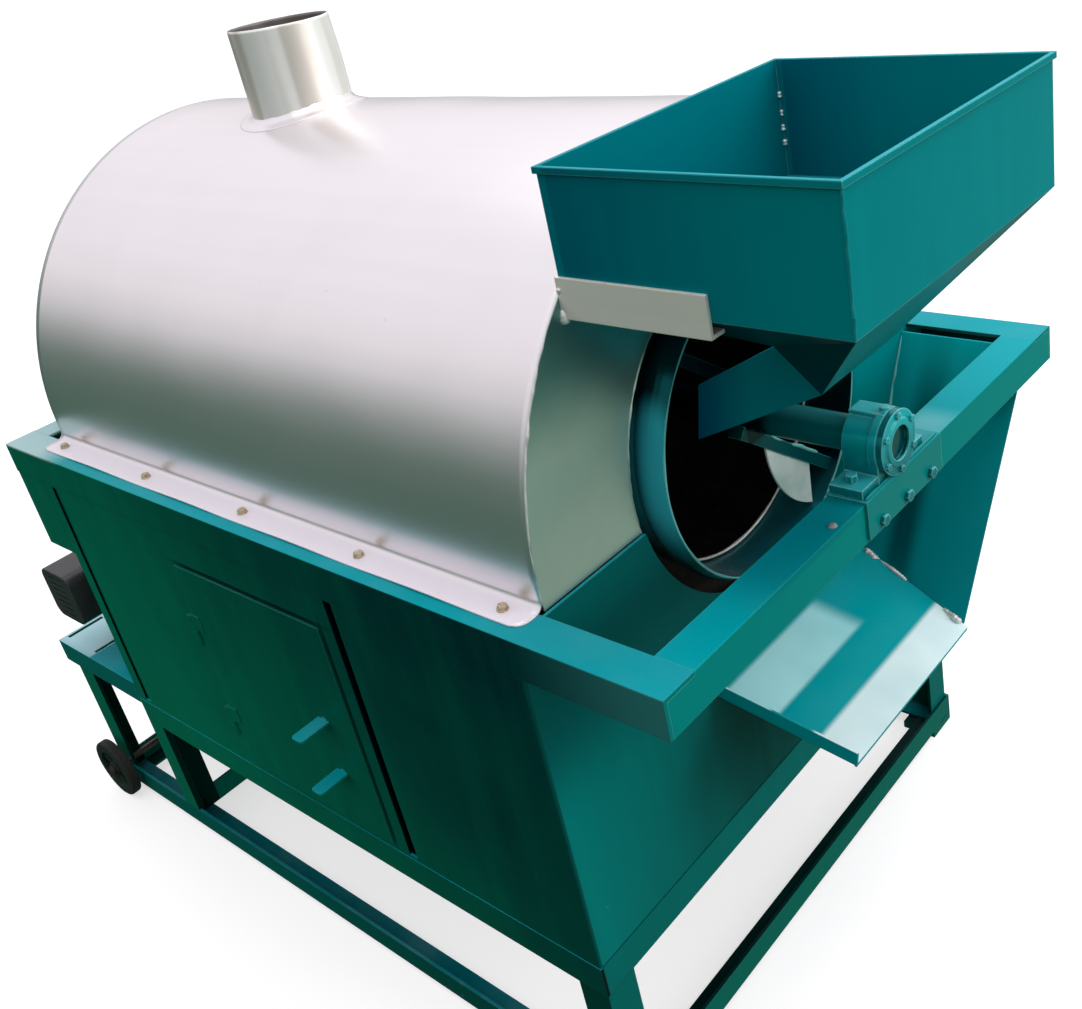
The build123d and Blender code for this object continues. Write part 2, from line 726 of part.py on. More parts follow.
# Drum shaft: a through bar, with a pair of flat spokes welded to its sides that carry the neck
bearing_rear_x = rim_rear + angle_leg / 2
shaft_front = bearing_mid_x + housing_length / 2 - shaft_end_gap
shaft_rear = bearing_rear_x - housing_length / 2
spout_end_x = neck_front + spout_stand_off
spoke_front = spout_end_x - spoke_gap
spoke_offset = shaft_r - spoke_bite + spoke_width / 2
with BuildPart() as drum_shaft:
    with BuildSketch(Plane.YZ.offset(spoke_front - spoke_depth)):
        for turn in (spoke_turn, spoke_turn + 180):
            with Locations(Location((0, axis_z, 0), (0, 0, turn))):
                with Locations(((neck_r - spoke_tail) / 2, -spoke_offset)):
                    Rectangle(neck_r + spoke_tail, spoke_width)
        with Locations((0, axis_z)):
            Circle(neck_in, mode=Mode.INTERSECT)
    extrude(amount=spoke_depth)
    rod_x(shaft_rear, shaft_front, 0, axis_z, shaft_r)
drum_shaft.part.label = "drum_shaft"
export_step(drum_shaft.part, "parts/drum_shaft.step")

# Discharge scoop: a bright curved plate between the lower spoke and the neck wall
scoop_front = spoke_front - scoop_setback
spoke_under = -spoke_offset - spoke_width / 2
scoop_corners = []
for along in (scoop_start, scoop_end):
    reach_y, reach_z = polar(along, spoke_turn)
    drop_y, drop_z = polar(spoke_under, spoke_turn + 90)
    scoop_corners.append((reach_y + drop_y, axis_z + reach_z + drop_z))
tip_y, tip_z = polar(neck_in, scoop_tip_turn)
belly_y, belly_z = polar(scoop_belly_r, scoop_belly_turn)
with BuildPart() as discharge_scoop:
    with BuildSketch(Plane.YZ.offset(scoop_front - scoop_sheet)):
        with BuildLine():
            Polyline(scoop_corners[0], scoop_corners[1], (tip_y, axis_z + tip_z))
            ThreePointArc((tip_y, axis_z + tip_z), (belly_y, axis_z + belly_z), scoop_corners[0])
        make_face()
        with Locations((0, axis_z)):
            Circle(neck_in, mode=Mode.INTERSECT)
    extrude(amount=scoop_sheet)
discharge_scoop.part.label = "discharge_scoop"
export_step(discharge_scoop.part, "parts/discharge_scoop.step")

# Lifting flights: slanted plates on the inside of the shell, in rows that step round it
with BuildPart() as drum_flights:
    flight_span = drum_front - drum_rear - 2 * flight_margin
    for row in range(flight_rows):
        row_x = drum_rear + flight_margin + flight_span * row / (flight_rows - 1)
        for k in range(flight_count):
            turn = 360 / flight_count * (k + row / flight_rows)
            row_turn = Location((row_x, 0, axis_z), (turn, 0, 0))
            with Locations(row_turn * Location((0, 0, -drum_in), (0, 0, flight_lean))):
                Box(flight_length, flight_sheet, 2 * flight_height)
    rod_x(drum_rear, drum_front, 0, axis_z, drum_in, Mode.INTERSECT)
drum_flights.part.label = "drum_flights"
export_step(drum_flights.part, "parts/drum_flights.step")

# Front bearing: a bent bracket on the rim, a cast housing with a bush, and a round bolted cover
bracket_top = rim_height + bracket_sheet
bracket_low_y = bracket_offset - bracket_length / 2
bracket_high_y = bracket_offset + bracket_length / 2
foot_bolt_ys = (-foot_bolt_pitch / 2, foot_bolt_pitch / 2)
with BuildPart() as bearing_bracket:
    slab((rim_front - angle_leg, bracket_low_y, rim_height),
         (rim_front + bracket_sheet, bracket_high_y, bracket_top))
    slab((rim_front, bracket_low_y, rim_height - bracket_drop),
         (rim_front + bracket_sheet, bracket_high_y, rim_height))
    for y in foot_bolt_ys:
        rod_z(rim_height, bracket_top, bearing_mid_x, y, bearing_bolt_hole_r, Mode.SUBTRACT)
    for y in bracket_bolt_ys:
        rod_x(rim_front, rim_front + bracket_sheet, y, bracket_bolt_z, bearing_bolt_hole_r, Mode.SUBTRACT)
    fold = bearing_bracket.edges().filter_by(Axis.Y).group_by(Axis.Z)[-1].sort_by(Axis.X)[-1]
    fillet(fold, bracket_sheet / 2)
bearing_bracket.part.label = "bearing_bracket"
export_step(bearing_bracket.part, "parts/bearing_bracket.step")


def bearing_foot_block(mid_x, low_z):
    """Adds a bearing foot with its bolt holes, under a round barrel along X."""
    slab((mid_x - bearing_foot_width / 2, -bearing_foot_length / 2, low_z),
         (mid_x + bearing_foot_width / 2, bearing_foot_length / 2, low_z + bearing_foot))
    slab((mid_x - housing_length / 2, -housing_r, low_z), (mid_x + housing_length / 2, housing_r, axis_z))
    rod_x(mid_x - housing_length / 2, mid_x + housing_length / 2, 0, axis_z, housing_r)
    slab((mid_x - housing_length / 2, -top_rib_width / 2, axis_z),
         (mid_x + housing_length / 2, top_rib_width / 2, axis_z + housing_r + top_rib_rise))
    rod_z(axis_z, axis_z + housing_r + oil_boss_rise, mid_x + housing_length / 2 - oil_boss_r, 0, oil_boss_r)
    for y in foot_bolt_ys:
        rod_z(low_z, low_z + bearing_foot, mid_x, y, bearing_bolt_hole_r, Mode.SUBTRACT)


housing_front = bearing_mid_x + housing_length / 2
cover_bolt_circle = (bush_r + housing_flange_r) / 2
cover_bolt_turn = 360 / cover_bolt_count
cover_bolt_spots = [polar(cover_bolt_circle, cover_bolt_turn * (k + 0.5)) for k in range(cover_bolt_count)]
with BuildPart() as front_bearing_housing:
    bearing_foot_block(bearing_mid_x, bracket_top)
    rod_x(housing_front - housing_flange, housing_front, 0, axis_z, housing_flange_r)
    rod_x(bearing_mid_x - housing_length / 2, housing_front, 0, axis_z, bush_r, Mode.SUBTRACT)
    for y, z in cover_bolt_spots:
        rod_x(housing_front - housing_flange, housing_front, y, axis_z + z, cover_bolt_r, Mode.SUBTRACT)
front_bearing_housing.part.label = "front_bearing_housing"
export_step(front_bearing_housing.part, "parts/front_bearing_housing.step")

with BuildPart() as front_bush:
    bush_rear = bearing_mid_x - bush_length / 2
    rod_x(bush_rear, bush_rear + bush_length, 0, axis_z, bush_r)
    rod_x(bush_rear, bush_rear + bush_length, 0, axis_z, shaft_r + running_fit, Mode.SUBTRACT)
front_bush.part.label = "front_bush"
export_step(front_bush.part, "parts/front_bush.step")

cover_front = housing_front + cover_sheet
with BuildPart() as front_bearing_cover:
    ring_front = cover_front + cover_ring_rise
    rod_x(housing_front, cover_front, 0, axis_z, housing_flange_r)
    rod_x(cover_front, ring_front, 0, axis_z, cover_ring_r)
    rod_x(cover_front - cover_recess, ring_front, 0, axis_z, cover_cap_r, Mode.SUBTRACT)
    for y, z in cover_bolt_spots:
        rod_x(housing_front, cover_front, y, axis_z + z, cover_bolt_r, Mode.SUBTRACT)
    front_circles = front_bearing_cover.edges().filter_by(GeomType.CIRCLE).group_by(Axis.X)[-1]
    fillet(front_circles.sort_by(SortBy.RADIUS)[-1], angle_edge_r)
front_bearing_cover.part.label = "front_bearing_cover"
export_step(front_bearing_cover.part, "parts/front_bearing_cover.step")

# Bearing bolts: cover screws, bracket bolts on the rim face, foot bolts of both bearings
with BuildPart() as bearing_bolts:
    for y, z in cover_bolt_spots:
        rod_x(housing_front - housing_flange, cover_front, y, axis_z + z, cover_bolt_r)
        with BuildSketch(Plane.YZ.offset(cover_front)):
            with Locations((y, axis_z + z)):
                RegularPolygon(cover_bolt_af / 2, 6, major_radius=False)
        extrude(amount=cover_bolt_head)
    for y in bracket_bolt_ys:
        rod_x(rim_front - bearing_bolt_grip, rim_front + bracket_sheet, y, bracket_bolt_z, bearing_bolt_r)
        with BuildSketch(Plane.YZ.offset(rim_front + bracket_sheet)):
            with Locations((y, bracket_bolt_z)):
                RegularPolygon(bearing_bolt_af / 2, 6, major_radius=False)
        extrude(amount=bearing_bolt_head)
    for x, z in ((bearing_mid_x, bracket_top + bearing_foot), (bearing_rear_x, rim_height + bearing_foot)):
        for y in foot_bolt_ys:
            rod_z(rim_height - bearing_bolt_grip, z, x, y, bearing_bolt_r)
            with BuildSketch(Plane.XY.offset(z)):
                with Locations((x, y)):
                    RegularPolygon(bearing_bolt_af / 2, 6, major_radius=False)
            extrude(amount=foot_bolt_head)
bearing_bolts.part.label = "bearing_bolts"
export_step(bearing_bolts.part, "parts/bearing_bolts.step")

# Rear bearing: a pillow block on the rear rim rail
with BuildPart() as rear_bearing_housing:
    bearing_foot_block(bearing_rear_x, rim_height)
    rod_x(shaft_rear, shaft_rear + housing_length, 0, axis_z, shaft_r + running_fit, Mode.SUBTRACT)
rear_bearing_housing.part.label = "rear_bearing_housing"
export_step(rear_bearing_housing.part, "parts/rear_bearing_housing.step")


def pitch_radius(teeth):
    """Gives the pitch circle radius of a chain sprocket."""
    return chain_pitch / 2 / math.sin(math.pi / teeth)


def sprocket_outline(y, z, teeth, bore_r):
    """Gives a sprocket's outline: a root disc with one tapered tooth per chain pitch."""
    pitch_r = pitch_radius(teeth)
    root_r = pitch_r - tooth_depth
    tip_r = pitch_r + tooth_rise
    root_half = (chain_pitch - tooth_gap) / 2
    tip_half = tooth_tip_width / 2
    with BuildSketch(Plane.YZ) as outline:
        with Locations((y, z)):
            Circle(root_r)
            with PolarLocations(0, teeth):
                Polygon((root_r - tooth_depth, -root_half), (root_r - tooth_depth, root_half),
                        (root_r, root_half), (tip_r, tip_half), (tip_r, -tip_half), (root_r, -root_half),
                        align=None)
            Circle(bore_r, mode=Mode.SUBTRACT)
    return outline.sketch


# Chain drive at the rear: drum sprocket with a hub on the shaft
chain_x = hood_rear - chain_gap_front
sprocket_low = chain_x - sprocket_thick / 2
drive_z = platform_top + drive_rise
with BuildPart() as drum_sprocket:
    drum_teeth_outline = sprocket_outline(0, axis_z, drum_teeth, shaft_r)
    extrude(drum_teeth_outline.moved(Location((sprocket_low, 0, 0))), amount=sprocket_thick)
    rod_x(sprocket_low - hub_length, sprocket_low, 0, axis_z, hub_r)
    rod_x(sprocket_low - hub_length, sprocket_low, 0, axis_z, shaft_r, Mode.SUBTRACT)
drum_sprocket.part.label = "drum_sprocket"
export_step(drum_sprocket.part, "parts/drum_sprocket.step")

# Drive sprocket on the gearbox output shaft
gearbox_front = chain_x - gearbox_gap
with BuildPart() as drive_sprocket:
    drive_teeth_outline = sprocket_outline(drive_y, drive_z, drive_teeth, drive_shaft_r / 2)
    extrude(drive_teeth_outline.moved(Location((sprocket_low, 0, 0))), amount=sprocket_thick)
    rod_x(gearbox_front - gearbox_boss, sprocket_low + sprocket_thick, drive_y, drive_z, drive_shaft_r)
drive_sprocket.part.label = "drive_sprocket"
export_step(drive_sprocket.part, "parts/drive_sprocket.step")

# Chain: two runs of side plates round both sprockets, tied by pins on the free runs
drum_pitch_r = pitch_radius(drum_teeth)
drive_pitch_r = pitch_radius(drive_teeth)
centre_gap = math.hypot(drive_y, axis_z - drive_z)
run_angle = math.degrees(math.atan2(drive_z - axis_z, drive_y))
run_spread = math.degrees(math.acos((drum_pitch_r - drive_pitch_r) / centre_gap))


def chain_loop(offset):
    """Draws the closed line round both sprockets, offset from the chain's pitch line."""
    big = drum_pitch_r + offset
    small = drive_pitch_r + offset
    corners = []
    for centre, radius in (((0, axis_z), big), ((drive_y, drive_z), small)):
        for spread in (-run_spread, run_spread):
            along, up = polar(radius, run_angle + spread)
            corners.append((centre[0] + along, centre[1] + up))
    far_y, far_z = polar(big, run_angle + 180)
    near_y, near_z = polar(small, run_angle)
    Line(corners[0], corners[2])
    ThreePointArc(corners[2], (drive_y + near_y, drive_z + near_z), corners[3])
    Line(corners[3], corners[1])
    ThreePointArc(corners[1], (far_y, axis_z + far_z), corners[0])


chain_inner = sprocket_thick / 2 + chain_side_gap
chain_outer = chain_inner + chain_plate
run_length = math.sqrt(centre_gap ** 2 - (drum_pitch_r - drive_pitch_r) ** 2)
pin_count = int(run_length / chain_pitch) - 2 * pin_skip_count
with BuildPart() as drive_chain:
    with BuildSketch(Plane.YZ.offset(chain_x - chain_outer)):
        with BuildLine():
            chain_loop(chain_plate_height / 2)
        make_face()
        with BuildLine():
            chain_loop(-chain_plate_height / 2)
        make_face(mode=Mode.SUBTRACT)
    extrude(amount=2 * chain_outer)
    slab((chain_x - chain_inner, -2 * drum_r, platform_top),
         (chain_x + chain_inner, 2 * drum_r, 2 * axis_z), Mode.SUBTRACT)
    for spread in (-run_spread, run_spread):
        start_y, start_z = polar(drum_pitch_r, run_angle + spread)
        end_y, end_z = polar(drive_pitch_r, run_angle + spread)
        for k in range(pin_count):
            share = (k + pin_skip_count + 0.5) * chain_pitch / run_length
            pin_y = start_y + (drive_y + end_y - start_y) * share
            pin_z = axis_z + start_z + (drive_z + end_z - axis_z - start_z) * share
            rod_x(chain_x - chain_inner, chain_x + chain_inner, pin_y, pin_z, chain_pin_r)
drive_chain.part.label = "drive_chain"
export_step(drive_chain.part, "parts/drive_chain.step")

# Motor platform: a folded tray with slots, level with the lower body
platform_under = platform_top - platform_sheet
motor_x = gearbox_front - gearbox_boss - gearbox_width / 2
slot_ys = (-half_width + slot_inset_y, drive_y - gearbox_length / 2 - slot_inset_y)
with BuildPart() as motor_platform:
    slab((platform_rear, -half_width, platform_under - platform_flange),
         (body_rear, half_width, platform_top))
    slab((platform_rear + platform_sheet, -post_face, platform_under - platform_flange),
         (body_rear - platform_sheet, post_face, platform_under), Mode.SUBTRACT)
    for y in slot_ys:
        for x in (platform_rear + slot_rear_inset, platform_rear + slot_rear_inset + slot_pitch_x):
            slab((x - slot_width / 2, y - slot_length / 2, platform_under),
                 (x + slot_width / 2, y + slot_length / 2, platform_top), Mode.SUBTRACT)
motor_platform.part.label = "motor_platform"
export_step(motor_platform.part, "parts/motor_platform.step")

# Platform legs: bored for the wheel axle
axle_x = platform_leg_rear + axle_inset
wheel_r = foot_height + sill_leg + axle_gap + axle_r
with BuildPart() as platform_legs:
    corner_posts(platform_leg_rear, 1, sill_floor, platform_under, depth=platform_leg_depth)
    rod_y(-post_face, post_face, axle_x, wheel_r, axle_r, Mode.SUBTRACT)
platform_legs.part.label = "platform_legs"
export_step(platform_legs.part, "parts/platform_legs.step")

# Gearbox: a cast right-angle case on a base flange, with long bosses for the output shaft
gearbox_low = motor_x - gearbox_width / 2
gearbox_high = motor_x + gearbox_width / 2
with BuildPart() as gearbox:
    with BuildSketch(Plane.XY.offset(platform_top + gearbox_base)):
        with Locations((motor_x, drive_y)):
            RectangleRounded(gearbox_width, gearbox_length, gearbox_corner_r)
    extrude(amount=gearbox_height - gearbox_base)
    fillet(gearbox.edges().group_by(Axis.Z)[-1], gearbox_top_r)
    slab((gearbox_low, drive_y - gearbox_length / 2 - gearbox_base_lip, platform_top),
         (gearbox_high, drive_y + gearbox_length / 2 + gearbox_base_lip, platform_top + gearbox_base))
    rod_x(gearbox_high, gearbox_front, drive_y, drive_z, gearbox_boss_r)
    rod_x(gearbox_low - gearbox_boss, gearbox_low, drive_y, drive_z, gearbox_boss_r)
    output_bore_r = drive_shaft_r + running_fit
    rod_x(gearbox_high - gearbox_boss, gearbox_front, drive_y, drive_z, output_bore_r, Mode.SUBTRACT)
gearbox.part.label = "gearbox"
export_step(gearbox.part, "parts/gearbox.step")

# Motor: a finned body on a foot, flanged to the gearbox, with a terminal box and a cable gland on top
motor_far = drive_y - gearbox_length / 2
cowl_near = motor_near_inset - half_width
motor_near = cowl_near + cowl_length
motor_length = motor_far - motor_flange - motor_near
box_mid_y = motor_far - motor_flange - motor_length / 2
fin_tip_r = motor_r + motor_fin
cowl_size = 2 * (fin_tip_r + cowl_lap)
with BuildPart() as motor_body:
    rod_y(motor_near, motor_far, motor_x, drive_z, motor_r)
    rod_y(motor_far - motor_flange, motor_far, motor_x, drive_z, motor_flange_r)
    with BuildSketch(Plane.XZ.offset(-motor_near - end_shield)):
        with Locations((motor_x, drive_z)):
            RectangleRounded(cowl_size, cowl_size, cowl_corner_r)
    extrude(amount=end_shield)
    with BuildSketch(Plane.XZ.offset(-motor_far + motor_flange)):
        with Locations((motor_x, drive_z)):
            with PolarLocations(0, motor_fin_count):
                Rectangle(fin_tip_r, motor_fin_sheet, align=(Align.MIN, Align.CENTER))
    extrude(amount=motor_length)
    slab((motor_x - motor_foot_width / 2, box_mid_y - motor_foot_length / 2, platform_top),
         (motor_x + motor_foot_width / 2, box_mid_y + motor_foot_length / 2, platform_top + motor_foot))
    slab((motor_x - motor_pedestal_width / 2, box_mid_y - motor_foot_length / 2, platform_top),
         (motor_x + motor_pedestal_width / 2, box_mid_y + motor_foot_length / 2, drive_z))
    box_top = drive_z + motor_r + terminal_box_height
    slab((motor_x - terminal_box_size / 2, box_mid_y - terminal_box_size / 2, drive_z),
         (motor_x + terminal_box_size / 2, box_mid_y + terminal_box_size / 2, box_top))
    box_rear = motor_x - terminal_box_size / 2
    rod_x(box_rear - gland_length, box_rear, box_mid_y, box_top - terminal_box_height / 2, gland_r)
motor_body.part.label = "motor_body"
export_step(motor_body.part, "parts/motor_body.step")

# Motor cowl: a rounded square fan cover with slots in its end
with BuildPart() as motor_cowl:
    with BuildSketch(Plane.XZ.offset(-motor_near)):
        with Locations((motor_x, drive_z)):
            RectangleRounded(cowl_size, cowl_size, cowl_corner_r)
    extrude(amount=cowl_length)
    fillet(motor_cowl.edges().group_by(Axis.Y)[0], cowl_wall)
    with BuildSketch(Plane.XZ.offset(-motor_near)):
        with Locations((motor_x, drive_z)):
            cowl_bore = cowl_size - 2 * cowl_wall
            RectangleRounded(cowl_bore, cowl_bore, cowl_corner_r - cowl_wall)
    extrude(amount=cowl_length - cowl_wall, mode=Mode.SUBTRACT)
    with BuildSketch(Plane.XZ.offset(-cowl_near - cowl_wall)):
        with Locations((motor_x, drive_z)):
            with GridLocations(0, 2 * motor_r / cowl_slot_count, 1, cowl_slot_count):
                Rectangle(motor_r, cowl_slot)
    extrude(amount=cowl_wall, mode=Mode.SUBTRACT)
motor_cowl.part.label = "motor_cowl"
export_step(motor_cowl.part, "parts/motor_cowl.step")

# Wheels: a spoked hub and a rubber tyre on each end of a through axle
wheel_inner = half_width + wheel_gap
wheel_outer = wheel_inner + wheel_width
hub_rim_r = wheel_r - tyre_depth
for side, side_name in ((-1, "near"), (1, "far")):
    y0, y1 = sorted((side * wheel_inner, side * wheel_outer))
    with BuildPart() as wheel_hub:
        rod_y(y0, y1, axle_x, wheel_r, hub_rim_r)
        rod_y(y0, y1, axle_x, wheel_r, hub_rim_r - rim_depth, Mode.SUBTRACT)
        rod_y(y0, y1, axle_x, wheel_r, wheel_hub_r)
        with BuildSketch(Plane.XZ.offset(-(y0 + y1) / 2 - wheel_spoke_thick / 2)):
            with Locations((axle_x, wheel_r)):
                with PolarLocations((wheel_hub_r + hub_rim_r - rim_depth) / 2, wheel_spokes):
                    Rectangle(hub_rim_r - wheel_hub_r, wheel_spoke_width)
        extrude(amount=wheel_spoke_thick)
        rod_y(y0, y1, axle_x, wheel_r, axle_r + running_fit, Mode.SUBTRACT)
    wheel_hub.part.label = f"{side_name}_wheel_hub"
    export_step(wheel_hub.part, f"parts/{side_name}_wheel_hub.step")

    with BuildPart() as wheel_tyre:
        rod_y(y0, y1, axle_x, wheel_r, wheel_r)
        fillet(wheel_tyre.edges().filter_by(GeomType.CIRCLE), tyre_round)
        rod_y(y0, y1, axle_x, wheel_r, hub_rim_r, Mode.SUBTRACT)
    wheel_tyre.part.label = f"{side_name}_wheel_tyre"
    export_step(wheel_tyre.part, f"parts/{side_name}_wheel_tyre.step")

with BuildPart() as wheel_axle:
    axle_half = wheel_outer + axle_end
    rod_y(-axle_half, axle_half, axle_x, wheel_r, axle_r)
    for side in (-1, 1):
        y0, y1 = sorted((side * (wheel_outer + sheet_gap), side * (wheel_outer + sheet_gap + axle_collar)))
        rod_y(y0, y1, axle_x, wheel_r, collar_outer_r)
wheel_axle.part.label = "wheel_axle"
export_step(wheel_axle.part, "parts/wheel_axle.step")

# Hopper: straight walls with a hem round the top edge
hopper_front = rim_front + hopper_reach - hem_out
hopper_rear = hood_front + hopper_gap
hopper_near = hopper_offset - hopper_width / 2
hopper_far = hopper_offset + hopper_width / 2
hood_edge_z = hood_centre_z + math.sqrt(hood_r ** 2 - hopper_near ** 2)
bracket_base = hood_edge_z - hopper_bracket_drop
hopper_base = bracket_base + hopper_bracket_height - hopper_bracket_lap
hopper_top = hopper_base + hopper_wall_height
hopper_mid = ((hopper_front + hopper_rear) / 2, hopper_offset)
hopper_length = hopper_front - hopper_rear
with BuildPart() as hopper_walls:
    with BuildSketch(Plane.XY.offset(hopper_base)):
        with Locations(hopper_mid):
            Rectangle(hopper_length, hopper_width)
            Rectangle(hopper_length - 2 * hopper_sheet, hopper_width - 2 * hopper_sheet, mode=Mode.SUBTRACT)
    extrude(amount=hopper_wall_height)
    with BuildSketch(Plane.XY.offset(hopper_top - hem_height)):
        with Locations(hopper_mid):
            Rectangle(hopper_length + 2 * hem_out, hopper_width + 2 * hem_out)
            Rectangle(hopper_length - 2 * hopper_sheet, hopper_width - 2 * hopper_sheet, mode=Mode.SUBTRACT)
    extrude(amount=hem_height)
    hem_edges = hopper_walls.edges().group_by(Axis.Z)[-1]
    fillet(hem_edges, hopper_sheet / 2)
hopper_walls.part.label = "hopper_walls"
export_step(hopper_walls.part, "parts/hopper_walls.step")

# Funnel: slanted sides down to a tilted outlet, the near and far sides folded flat along a diagonal
outlet_rear = (hopper_front - outlet_rear_inset, hopper_base - outlet_rear_drop)
outlet_front = (hopper_front - outlet_front_inset, hopper_base - outlet_front_drop)
outlet_near = hopper_offset - outlet_width / 2
outlet_far = hopper_offset + outlet_width / 2


def funnel_block(inset):
    """Gives the block between the hopper's base and the outlet, drawn in by an inset on every side."""
    drawn_in = inset / math.dist(outlet_rear, outlet_front)
    run_x = (outlet_front[0] - outlet_rear[0]) * drawn_in
    run_z = (outlet_front[1] - outlet_rear[1]) * drawn_in
    sides = []
    for top_y, low_y in ((hopper_near + inset, outlet_near + inset),
                         (hopper_far - inset, outlet_far - inset)):
        sides.append(((hopper_rear + inset, top_y, hopper_base), (hopper_front - inset, top_y, hopper_base),
                      (outlet_rear[0] + run_x, low_y, outlet_rear[1] + run_z),
                      (outlet_front[0] - run_x, low_y, outlet_front[1] - run_z)))
    outlines = []
    for top_rear, top_front, low_rear, low_front in sides:
        outlines.append((top_rear, top_front, low_rear))
        outlines.append((top_front, low_front, low_rear))
    for first, second in ((0, 1), (2, 3), (0, 2), (1, 3)):
        outlines.append((sides[0][first], sides[0][second], sides[1][second], sides[1][first]))
    return Solid(Shell([Face(Wire.make_polygon(outline)) for outline in outlines]))


with BuildPart() as hopper_funnel:
    add(funnel_block(0))
    add(funnel_block(hopper_sheet), mode=Mode.SUBTRACT)
hopper_funnel.part.label = "hopper_funnel"
export_step(hopper_funnel.part, "parts/hopper_funnel.step")

# Feed spout: an open channel from the outlet down into the drum mouth
spout_low = (spout_end_x, axis_z + shaft_r + spout_clear)
spout_high = (spout_end_x + spout_end_lean, spout_low[1] + spout_side_height)
spout_run = math.atan2(outlet_front[1] - spout_low[1], outlet_front[0] - spout_low[0])
floor_rise = spout_sheet / math.cos(spout_run)
with BuildPart() as feed_spout:
    with BuildSketch(Plane.XZ.offset(-outlet_near - outlet_width)):
        Polygon(spout_low, spout_high, outlet_rear, outlet_front, align=None)
    extrude(amount=outlet_width)
    with BuildSketch(Plane.XZ.offset(-outlet_near - outlet_width + spout_sheet)):
        Polygon((spout_low[0] - spout_sheet * math.cos(spout_run),
                 spout_low[1] + floor_rise - spout_sheet * math.sin(spout_run)),
                (spout_low[0] - spout_sheet * math.cos(spout_run), spout_high[1] + spout_side_height),
                (outlet_front[0] + spout_side_height, outlet_rear[1] + spout_side_height),
                (outlet_front[0] + spout_side_height * math.cos(spout_run),
                 outlet_front[1] + floor_rise + spout_side_height * math.sin(spout_run)), align=None)
    extrude(amount=outlet_width - 2 * spout_sheet, mode=Mode.SUBTRACT)
feed_spout.part.label = "feed_spout"
export_step(feed_spout.part, "parts/feed_spout.step")

# Hopper brackets: angles welded to the hood front, one along each side of the hopper
with BuildPart() as hopper_brackets:
    for side, face in ((-1, hopper_near), (1, hopper_far)):
        outer = face + side * hopper_bracket_sheet
        lip = outer - side * hopper_bracket_leg
        slab((hood_front, min(face, outer), bracket_base),
             (hood_front + hopper_bracket_length, max(face, outer), bracket_base + hopper_bracket_height))
        slab((hood_front, min(outer, lip), bracket_base),
             (hood_front + hopper_bracket_length, max(outer, lip), bracket_base + hopper_bracket_sheet))
hopper_brackets.part.label = "hopper_brackets"
export_step(hopper_brackets.part, "parts/hopper_brackets.step")

# Chute tray: a sloping plate from the front panel, with a low near upstand and a turned-down lip
chute_rear_x = post_front + sheet
chute_height = rim_height - chute_drop
chute_slope = math.hypot(chute_reach, chute_fall)
chute_plane = Plane(origin=(chute_rear_x, 0, chute_height), x_dir=(chute_reach, 0, -chute_fall),
                    z_dir=(chute_fall, 0, chute_reach))
chute_start = -chute_sheet - chute_upstand * chute_fall / chute_reach
start_share = chute_start / chute_slope
near_start = chute_near_rear + (chute_near_front - chute_near_rear) * start_share
far_start = chute_far_rear + (chute_far_front - chute_far_rear) * start_share
with BuildPart() as chute_tray:
    with BuildSketch(chute_plane):
        Polygon((chute_start, -near_start), (chute_slope, -chute_near_front),
                (chute_slope, chute_far_front), (chute_start, far_start), align=None)
    extrude(amount=-chute_sheet)
    with BuildSketch(chute_plane):
        Polygon((chute_start, -near_start), (chute_slope, -chute_near_front),
                (chute_slope, chute_sheet - chute_near_front), (chute_start, chute_sheet - near_start),
                align=None)
    extrude(amount=chute_upstand)
    with BuildSketch(chute_plane):
        Polygon((chute_slope - chute_sheet, -chute_near_front), (chute_slope, -chute_near_front),
                (chute_slope, chute_far_front), (chute_slope - chute_sheet, chute_far_front), align=None)
    extrude(amount=-chute_lip)
    slab((post_front - angle_leg, -half_width, rail_top),
         (chute_rear_x, half_width, rim_height), Mode.SUBTRACT)
chute_tray.part.label = "chute_tray"
export_step(chute_tray.part, "parts/chute_tray.step")

# Chute cheek: a leaning plate from the tray's far edge up to the rim
cheek_front_x = rim_front - angle_wall - sheet_gap
cheek_share = (cheek_front_x - chute_rear_x) / chute_reach
cheek_top_z = rim_height - cheek_top_drop
cheek_top_y = half_width - angle_leg - cheek_top_inset
cheek_low_y = chute_far_rear + (chute_far_front - chute_far_rear) * cheek_share
cheek_low_z = chute_height - chute_fall * cheek_share
with BuildPart() as chute_cheek:
    for x, low_y, low_z in ((chute_rear_x, chute_far_rear, chute_height),
                            (cheek_front_x, cheek_low_y, cheek_low_z)):
        with BuildSketch(Plane.YZ.offset(x)):
            Polygon((low_y, low_z), (low_y + cheek_sheet, low_z), (cheek_top_y + cheek_sheet, cheek_top_z),
                    (cheek_top_y, cheek_top_z), align=None)
    loft(ruled=True)
chute_cheek.part.label = "chute_cheek"
export_step(chute_cheek.part, "parts/chute_cheek.step")
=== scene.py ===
# %% [markdown]
# # Dressing a nut roasting machine
#
# The machine is a welded stand with a drum lying in it, a silver hood over the drum, a feed hopper and a
# discharge chute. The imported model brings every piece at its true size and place, in metres, so this lesson
# only adds what a drawing leaves out: paint, sheet that is not quite flat, weld beads, wear and light.

# %% Load the frame
import bpy
import numpy as np
from mathutils import Matrix, Vector


